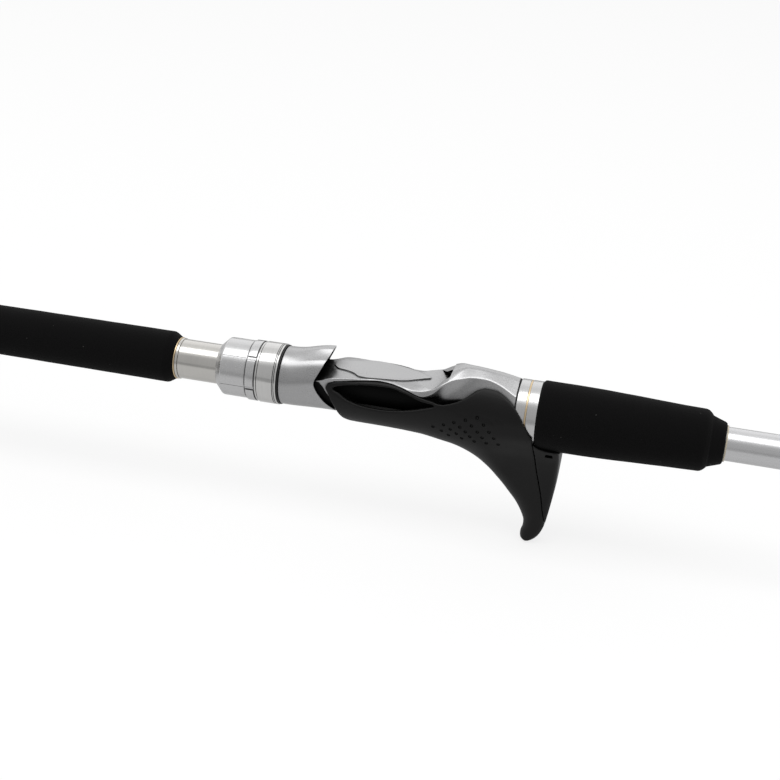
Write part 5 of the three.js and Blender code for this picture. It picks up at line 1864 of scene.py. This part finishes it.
@dataclass
class Blank:
    """The tapered carbon tube that runs through the whole handle."""

    plan: Plan = PLAN
    wall: float = 1.3

    def build(self) -> None:
        """Builds the blank."""
        p, hollow = self.plan, self.plan.blank_butt_r - self.wall
        full, end = p.check_x + 60, p.butt_grip_end_x - 2
        heel = p.tip_x + p.blank_reach * 0.2
        profile = [(p.tip_x, 0), (p.tip_x, p.blank_tip_r)]
        profile += [(x, p.blank_radius(x)) for x in np.linspace(p.tip_x, p.check_x, 60)[1:]]
        profile += [
            (full, p.blank_butt_r), (end, p.blank_butt_r), (end, hollow), (full, hollow),
            (p.check_x, p.blank_check_r - self.wall), (heel, 0.5), (heel - 1, 0),
        ]
        dress(Form.turned(profile, 64).made("blank_body"), Finish.CARBON, "blank", crease=40)


# ---- Guides ----


@dataclass
class Guide:
    """One line guide: frame of bent wire, ceramic ring and two thread wraps."""

    number: int
    x: float
    share: float
    plan: Plan = PLAN
    tip_ring_r: float = 3.6
    big_ring_r: float = 9.0
    tip_height: float = 10.5
    big_height: float = 27.0
    ring_thickness: float = 0.9
    ring_half: float = 0.9
    hoop_half: float = 0.7
    splay: float = 0.85
    wire_r: float = 0.85
    wire_sides: int = 10
    foot_width: float = 2.6
    foot_thickness: float = 0.8
    foot_length: float = 13.0
    wrap_length: float = 9.0
    wrap_thickness: float = 0.45
    thread_pitch: float = 0.36

    def __post_init__(self) -> None:
        """Sizes the guide by its share of the way to the reel."""
        way = self.share**1.5
        self.inner = mix(self.tip_ring_r, self.big_ring_r, way)
        self.height = mix(self.tip_height, self.big_height, way)
        self.holder = self.inner + self.ring_thickness + self.plan.seat_gap
        self.reach = 0.55 * self.height + 3

    def swept(self, points: Sequence[Spot], radius: float) -> Object:
        """A round wire along a smooth path through given points.

        Args:
            points: Points that the wire passes.
            radius: Its radius.

        Returns:
            The wire.
        """
        path = through_points(points)
        curve = bpy.data.curves.new("wire", "CURVE")
        curve.dimensions = "3D"
        line = curve.splines.new("NURBS")
        line.points.add(len(path) - 1)
        for point, (x, y, z) in zip(line.points, path):
            point.co = (x * MM, y * MM, (z - self.plan.deck_z) * MM, 1)
        line.use_endpoint_u = True
        line.order_u = 3
        line.resolution_u = 8
        recipe = Recipe("bent wire", {"Wire radius": radius * MM, "Sides": self.wire_sides}, Finish.STEEL)
        sizes = {"Radius": recipe.given("Wire radius"), "Resolution": recipe.given("Sides")}
        section = recipe.node("GeometryNodeCurvePrimitiveCircle", inputs=sizes)
        sweep = {"Curve": recipe.given("Geometry"), "Profile Curve": section.outputs[0], "Fill Caps": True}
        recipe.end(recipe.node("GeometryNodeCurveToMesh", inputs=sweep).outputs[0])
        return recipe.run(linked("wire", curve), "wire")

    def hoop(self, bore: float, radius: float, x: float, z: float) -> Form:
        """A rounded hoop that stands across the rod."""
        section = band(-self.hoop_half, self.hoop_half, bore, radius)
        return Form.turned(eased(section, 0.35, 4), 72).moved(x=x, z=z)

    def foot(self, x: float, towards: int) -> Form:
        """A foot that lies along the blank, thinned towards its tail.

        Args:
            x: Where it starts.
            towards: Way that it points: -1 to the tip, 1 to the butt.

        Returns:
            The foot's form.
        """
        tail = x + towards * self.foot_length
        low = self.plan.blank_radius(max(x, tail)) + self.plan.seat_gap
        rows = []
        for t in np.linspace(0, 1, 14):
            at = mix(x, tail, t)
            thick = mix(self.foot_thickness, 0.28, t)
            half = self.foot_width / 2 * (1 - 0.45 * step_up(t, 0.7, 1))
            corners = [(-half, low), (half, low), (half, low + thick), (-half, low + thick)]
            rows.append((at, eased(corners, min(thick * 0.3, 0.2), 3)))
        return Form.lofted(rows)

    def frame(self) -> Object:
        """The hoop, legs and feet in one piece.

        Returns:
            The frame, not yet dressed.
        """
        fore, aft = self.x - self.reach, self.x + self.reach
        return Bench.work(
            self.hoop(self.holder, self.holder + 1.4, self.x, self.height).made(f"guide_{self.number}_frame_body"),
            Join.ADD,
            self.leg(aft, 1, self.splay),
            self.leg(aft, -1, self.splay),
            self.leg(fore, 0, 0),
            self.foot(aft - 1, 1),
            self.foot(fore + 1, -1),
        )

    def leg(self, foot_x: float, side: int, join_angle: float) -> Object:
        """One leg, from the blank up to the hoop.

        Args:
            foot_x: Where it leaves the blank.
            side: Side that it leans to: -1, 0 or 1.
            join_angle: Angle from the hoop's bottom to where it meets it.

        Returns:
            The leg.
        """
        ankle = self.plan.blank_radius(foot_x) + self.plan.seat_gap + self.wire_r
        join = self.holder + self.wire_r
        top = (self.x, side * join * math.sin(join_angle), self.height - join * math.cos(join_angle))
        low = (foot_x, side * 0.7, ankle)
        knee = (mix(foot_x, self.x, 0.35), side * mix(0.7, top[1] * side, 0.6), mix(ankle, top[2], 0.28))
        return self.swept([low, knee, top], self.wire_r)

    def wrap(self, x0: float, node: str) -> None:
        """Builds a thread wrap: round under the blank, humped over the foot, a ridge for every turn.

        Args:
            x0: Front of the wrap.
            node: The CAD node it stands for.
        """
        p, gap, radius = self.plan, self.plan.seat_gap, self.thread_pitch * 0.5
        local, x1 = p.blank_radius(x0 + self.foot_length), x0 + self.wrap_length
        hole, high, half = local + gap + 0.05, local + gap + self.foot_thickness + gap, self.foot_width / 2 + gap

        def section(out: float) -> list[Pair]:
            """Outline that stands out from the hole by a distance.

            Args:
                out: The distance.

            Returns:
                The closed outline.
            """
            r = hole + out
            spring = math.asin(min((half + out) / r, 0.98))
            turns = np.linspace(math.pi / 2 + spring, 2.5 * math.pi - spring, 22)
            low = [(r * math.cos(t), r * math.sin(t)) for t in turns]
            side, top, ridge = half * 0.92 + out, half * 0.6, high + out
            hump = [(side, high * 0.985), (top, ridge), (-top, ridge), (-side, high * 0.985)]
            return low + eased(hump, [0.2, 0.6, 0.6, 0.2], 3, closed=False)

        around = section(self.wrap_thickness * 0.6)
        base = Form.lofted([(x0, around), (x1, around)]).made(f"{node}_body")
        Bench.work(base, Join.CUT, Form.lofted([(x0 - 1, section(0)), (x1 + 1, section(0))]))
        strand = (
            (-1, -0.02), (-0.6, radius * 0.62), (0, radius * 0.9), (0.6, radius * 0.62), (1, -0.02), (1, -0.12),
            (-1, -0.12),
        )
        rings = [[(x0 + radius + radius * way, y, z) for y, z in grown(around, out)] for way, out in strand]
        turn = Form.skinned(rings + rings[:1], capped=False).made("turn")
        count = int((self.wrap_length - 2 * radius) / self.thread_pitch) + 1
        recipe = Recipe("thread turns", {"Turns": count, "Pitch": self.thread_pitch * MM}, Finish.THREAD)
        step = recipe.out("ShaderNodeCombineXYZ", recipe.given("Pitch"))
        run = {"Count": recipe.given("Turns"), "Offset": step}
        line = recipe.node("GeometryNodeMeshLine", {"mode": "OFFSET"}, run)
        recipe.scatter(line.outputs[0], recipe.given("Geometry"))
        turns = recipe.run(turn, "turns")
        joined = bmesh.new()
        for mesh in (base.data, turns.data):
            joined.from_mesh(mesh)
        joined.to_mesh(base.data)
        joined.free()
        bpy.data.objects.remove(turns)
        dress(base, Finish.THREAD, node, crease=45)

    def ceramic(self, node: str, x: float, height: float, inner: float) -> None:
        """Builds the ceramic ring, rounded where the line runs.

        Args:
            node: The CAD node it stands for.
            x: Its place along the rod.
            height: Height of its centre above the axis.
            inner: Radius of its hole.
        """
        outer, half = inner + self.ring_thickness, self.ring_half
        shape = [(-half, outer), (half, outer), (half, inner + 0.3), (0, inner), (-half, inner + 0.3)]
        ring = Form.turned(eased(shape, [0.12, 0.12, 0.3, 0.5, 0.3], 5), 80).moved(x=x, z=height)
        dress(ring.made(f"{node}_body"), Finish.CERAMIC, node, crease=40)

    def build(self) -> None:
        """Builds the guide's four pieces."""
        tag = f"guide_{self.number}"
        dress(self.frame(), Finish.STEEL, f"{tag}_frame", crease=35)
        self.ceramic(f"{tag}_ring", self.x, self.height, self.inner)
        self.wrap(self.x - self.reach - 2 - self.wrap_length, f"{tag}_wrap_front")
        self.wrap(self.x + self.reach + 2, f"{tag}_wrap_rear")


def through_points(points: Sequence[Spot], steps: int = 8) -> list[Spot]:
    """Points of a smooth path through three or more given points.

    Args:
        points: The points it passes.
        steps: Steps from one point to the next.

    Returns:
        The path's points.
    """
    known = [Vector(p) for p in points]
    ends = [known[0] * 2 - known[1]] + known + [known[-1] * 2 - known[-2]]
    path = []
    for i in range(1, len(ends) - 2):
        a, b, c, d = ends[i - 1 : i + 3]
        for k in range(steps):
            t = k / steps
            spot = (b * 2 + (c - a) * t + (a * 2 - b * 5 + c * 4 - d) * t**2 + (b * 3 - a - c * 3 + d) * t**3) * 0.5
            path.append(tuple(spot))
    return path + [tuple(known[-1])]


@dataclass
class TipTop(Guide):
    """The tip-top: a tube over the blank's end that carries the last ring."""

    def build(self) -> None:
        """Builds the tip-top and its ring."""
        p, inner = self.plan, self.tip_ring_r
        tip, bore = p.tip_x, p.blank_radius(p.tip_x + 12) + p.seat_gap
        holder, height, x = inner + self.ring_thickness + p.seat_gap, inner + 4.4, tip - 3.5
        outer, wire = holder + 1.2, self.wire_r * 0.8
        join, root = holder + wire, bore + self.wire_r
        profile = [
            (tip - 1.6, 0), (tip - 1.6, bore), (tip - 0.8, bore + 0.7), (tip + 12, bore + 0.7),
            (tip + 12, bore), (tip - 0.3, bore), (tip - 0.3, 0),
        ]
        tube = eased(profile, [0, 0.3, 0.3, 0.2, 0.1, 0.1, 0], 3, closed=False)
        knee = (mix(tip, x, 0.5), 0, mix(root, height - outer, 0.55))
        paths = [[(tip - 0.8, 0, root - 0.2), knee, (x, 0, height - join)]]
        for side in (1, -1):
            low, knee = (tip + 7, side * 0.6, root), (tip + 3, side * 1.8, height * 0.55)
            paths.append([low, knee, (x, side * join * 0.86, height - join * 0.5)])
        piece = Bench.work(
            Form.turned(tube, 48).made("tip_top_body"),
            Join.ADD,
            self.hoop(holder, outer, x, height),
            *(self.swept(path, wire) for path in paths),
        )
        dress(piece, Finish.STEEL, "tip_top", crease=35)
        self.ceramic("tip_ring", x, height, inner)


@dataclass
class GuideSet:
    """All the guides, spaced wider towards the reel."""

    plan: Plan = PLAN
    count: int = 6
    first_spacing: float = 85.0
    growth: float = 1.145

    def build(self) -> None:
        """Builds every guide and the tip-top."""
        station = self.plan.tip_x
        for number in range(self.count, 0, -1):
            station += self.first_spacing * self.growth ** (self.count - number)
            Guide(number, station, (self.count + 1 - number) / self.count).build()
        TipTop(0, self.plan.tip_x, 0).build()


# ---- Studio ----


@dataclass
class Studio:
    """Camera, soft light, pale floor and white surroundings."""

    azimuth: float = 12.424
    elevation: float = 25.469
    roll: float = 3.518
    distance: float = 0.58083
    aim_z: float = 0.35
    lens: float = 64.35
    box_size: Pair = (2.4, 0.8)
    box_place: Spot = (0.0, -0.25, 1.4)
    box_watts: float = 9.0
    floor_size: float = 12.0
    floor_glow: float = 0.78
    seen_tone: Rgb = (0.28, 0.28, 0.28)
    lit_tone: Rgb = (0.8, 0.8, 0.8)
    table_edge: float = 0.24
    table_glow: float = 0.26
    beyond_glow: float = 0.12
    daylight: float = 0.55
    reflected: float = 1.12
    panels: tuple[Pair, ...] = (
        (0, 0.4), (46, 0.43), (66, 0.8), (95, 0.78), (106, 0.74), (125, 0.74), (132, 0.88), (139, 0.88),
        (146, 0.93), (168, 0.97), (174, 0.3), (180, 0.35),
    )

    def camera(self) -> None:
        """Stands the camera at the left front, a little above the seat."""
        data = bpy.data.cameras.new("camera")
        data.lens = self.lens
        data.sensor_width = 36
        data.clip_start = 0.01
        data.clip_end = 60
        camera = linked("camera", data)
        az, el = math.radians(self.azimuth), math.radians(self.elevation)
        way = Vector((math.sin(az) * math.cos(el), -math.cos(az) * math.cos(el), math.sin(el)))
        aim = Vector((0, 0, (self.aim_z - PLAN.deck_z) * MM))
        turn = way.to_track_quat("Z", "Y").to_matrix().to_4x4() @ Matrix.Rotation(math.radians(self.roll), 4, "Z")
        camera.matrix_world = Matrix.Translation(aim + way * self.distance) @ turn
        bpy.context.scene.camera = camera

    def lamp(self) -> None:
        """Hangs a rectangular soft box over the rod."""
        data = bpy.data.lights.new("overhead soft box", "AREA")
        data.shape = "RECTANGLE"
        data.size, data.size_y = self.box_size
        data.energy = self.box_watts
        lamp = linked("overhead soft box", data)
        lamp.location = self.box_place
        lamp.rotation_euler = Vector(self.box_place).to_track_quat("Z", "Y").to_euler()

    def surroundings(self) -> None:
        """White to look at; long soft panels in reflections, by the angle round the rod; plain as a light source."""
        world = bpy.data.worlds.new("surroundings")
        bpy.context.scene.world = world
        world.use_nodes = True
        nodes = Nodes(world.node_tree)
        place = nodes.node("ShaderNodeTexCoord")
        split = nodes.node("ShaderNodeSeparateXYZ", inputs={0: place.outputs["Generated"]})
        towards = nodes.math("MULTIPLY", split.outputs[1], -1.0)
        turn = nodes.math("ARCTAN2", split.outputs[2], towards)
        ramp = nodes.node("ShaderNodeValToRGB", inputs={0: nodes.math("MULTIPLY", turn, 1 / math.pi)})
        stops = ramp.color_ramp.elements
        while len(stops) < len(self.panels):
            stops.new(0.5)
        for stop, (angle, grey) in zip(stops, self.panels):
            stop.position = angle / 180
            stop.color = (grey, grey, grey, 1)
        path = nodes.node("ShaderNodeLightPath")
        mirrored = nodes.math("MAXIMUM", path.outputs["Is Glossy Ray"], path.outputs["Is Transmission Ray"])
        white = (1, 1, 1, 1)
        light = nodes.out("ShaderNodeBackground", white, self.daylight)
        shown = nodes.out("ShaderNodeBackground", white, 1.0)
        reflected = nodes.out("ShaderNodeBackground", ramp.outputs[0], self.reflected)
        seen = nodes.out("ShaderNodeMixShader", path.outputs["Is Camera Ray"], light, shown)
        both = nodes.out("ShaderNodeMixShader", mirrored, seen, reflected)
        nodes.node("ShaderNodeOutputWorld", inputs={0: both})

    def floor(self) -> None:
        """A pale floor that looks white and keeps the object's shadow, and mirrors as a table with a far edge."""
        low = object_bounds()[0][2] - 0.0005
        half = self.floor_size / 2
        mesh = bpy.data.meshes.new("floor")
        corners = [(-half, -half, low), (half, -half, low), (half, half, low), (-half, half, low)]
        mesh.from_pydata(corners, [], [(0, 1, 2, 3)])
        floor = linked("floor", mesh)
        graph = Graph("floor")
        path = graph.node("ShaderNodeLightPath")
        camera, mirror = Value(graph, path.outputs["Is Camera Ray"]), Value(graph, path.outputs["Is Glossy Ray"])
        _, across, _ = graph.parts(graph.place())
        table = across.eased(-self.table_edge - 0.01, -self.table_edge + 0.01)
        glow = camera * self.floor_glow + mirror * (table * self.table_glow + self.beyond_glow)
        tone = graph.blend(camera.worked("MAXIMUM", mirror), self.lit_tone, self.seen_tone)
        mesh.materials.append(graph.finish({
            "Base Color": tone,
            "Emission Strength": glow,
            "Roughness": 1.0,
            "Specular IOR Level": 0.0,
            "Emission Color": (1, 1, 1, 1),
        }))
        floor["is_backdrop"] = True

    def build(self) -> None:
        """Sets up the whole studio."""
        self.camera()
        self.surroundings()
        self.floor()
        self.lamp()
        bpy.context.scene.view_settings.view_transform = "Standard"


# ---- The whole rod ----


def main() -> None:
    """Builds every sub-assembly in order, then the studio."""
    logging.basicConfig(level=logging.INFO, format="%(message)s")
    seat, cover = SeatFrame(), TriggerCover()
    seat.build(cover)
    cover.build(seat)
    for assembly in (SlidingHood, LockNut, TurnedPieces, ForeGrip, RearGrip, ButtGrip, Blank, GuideSet):
        assembly().build()
    bpy.context.view_layer.update()
    Studio().build()


if __name__ == "__main__":
    main()
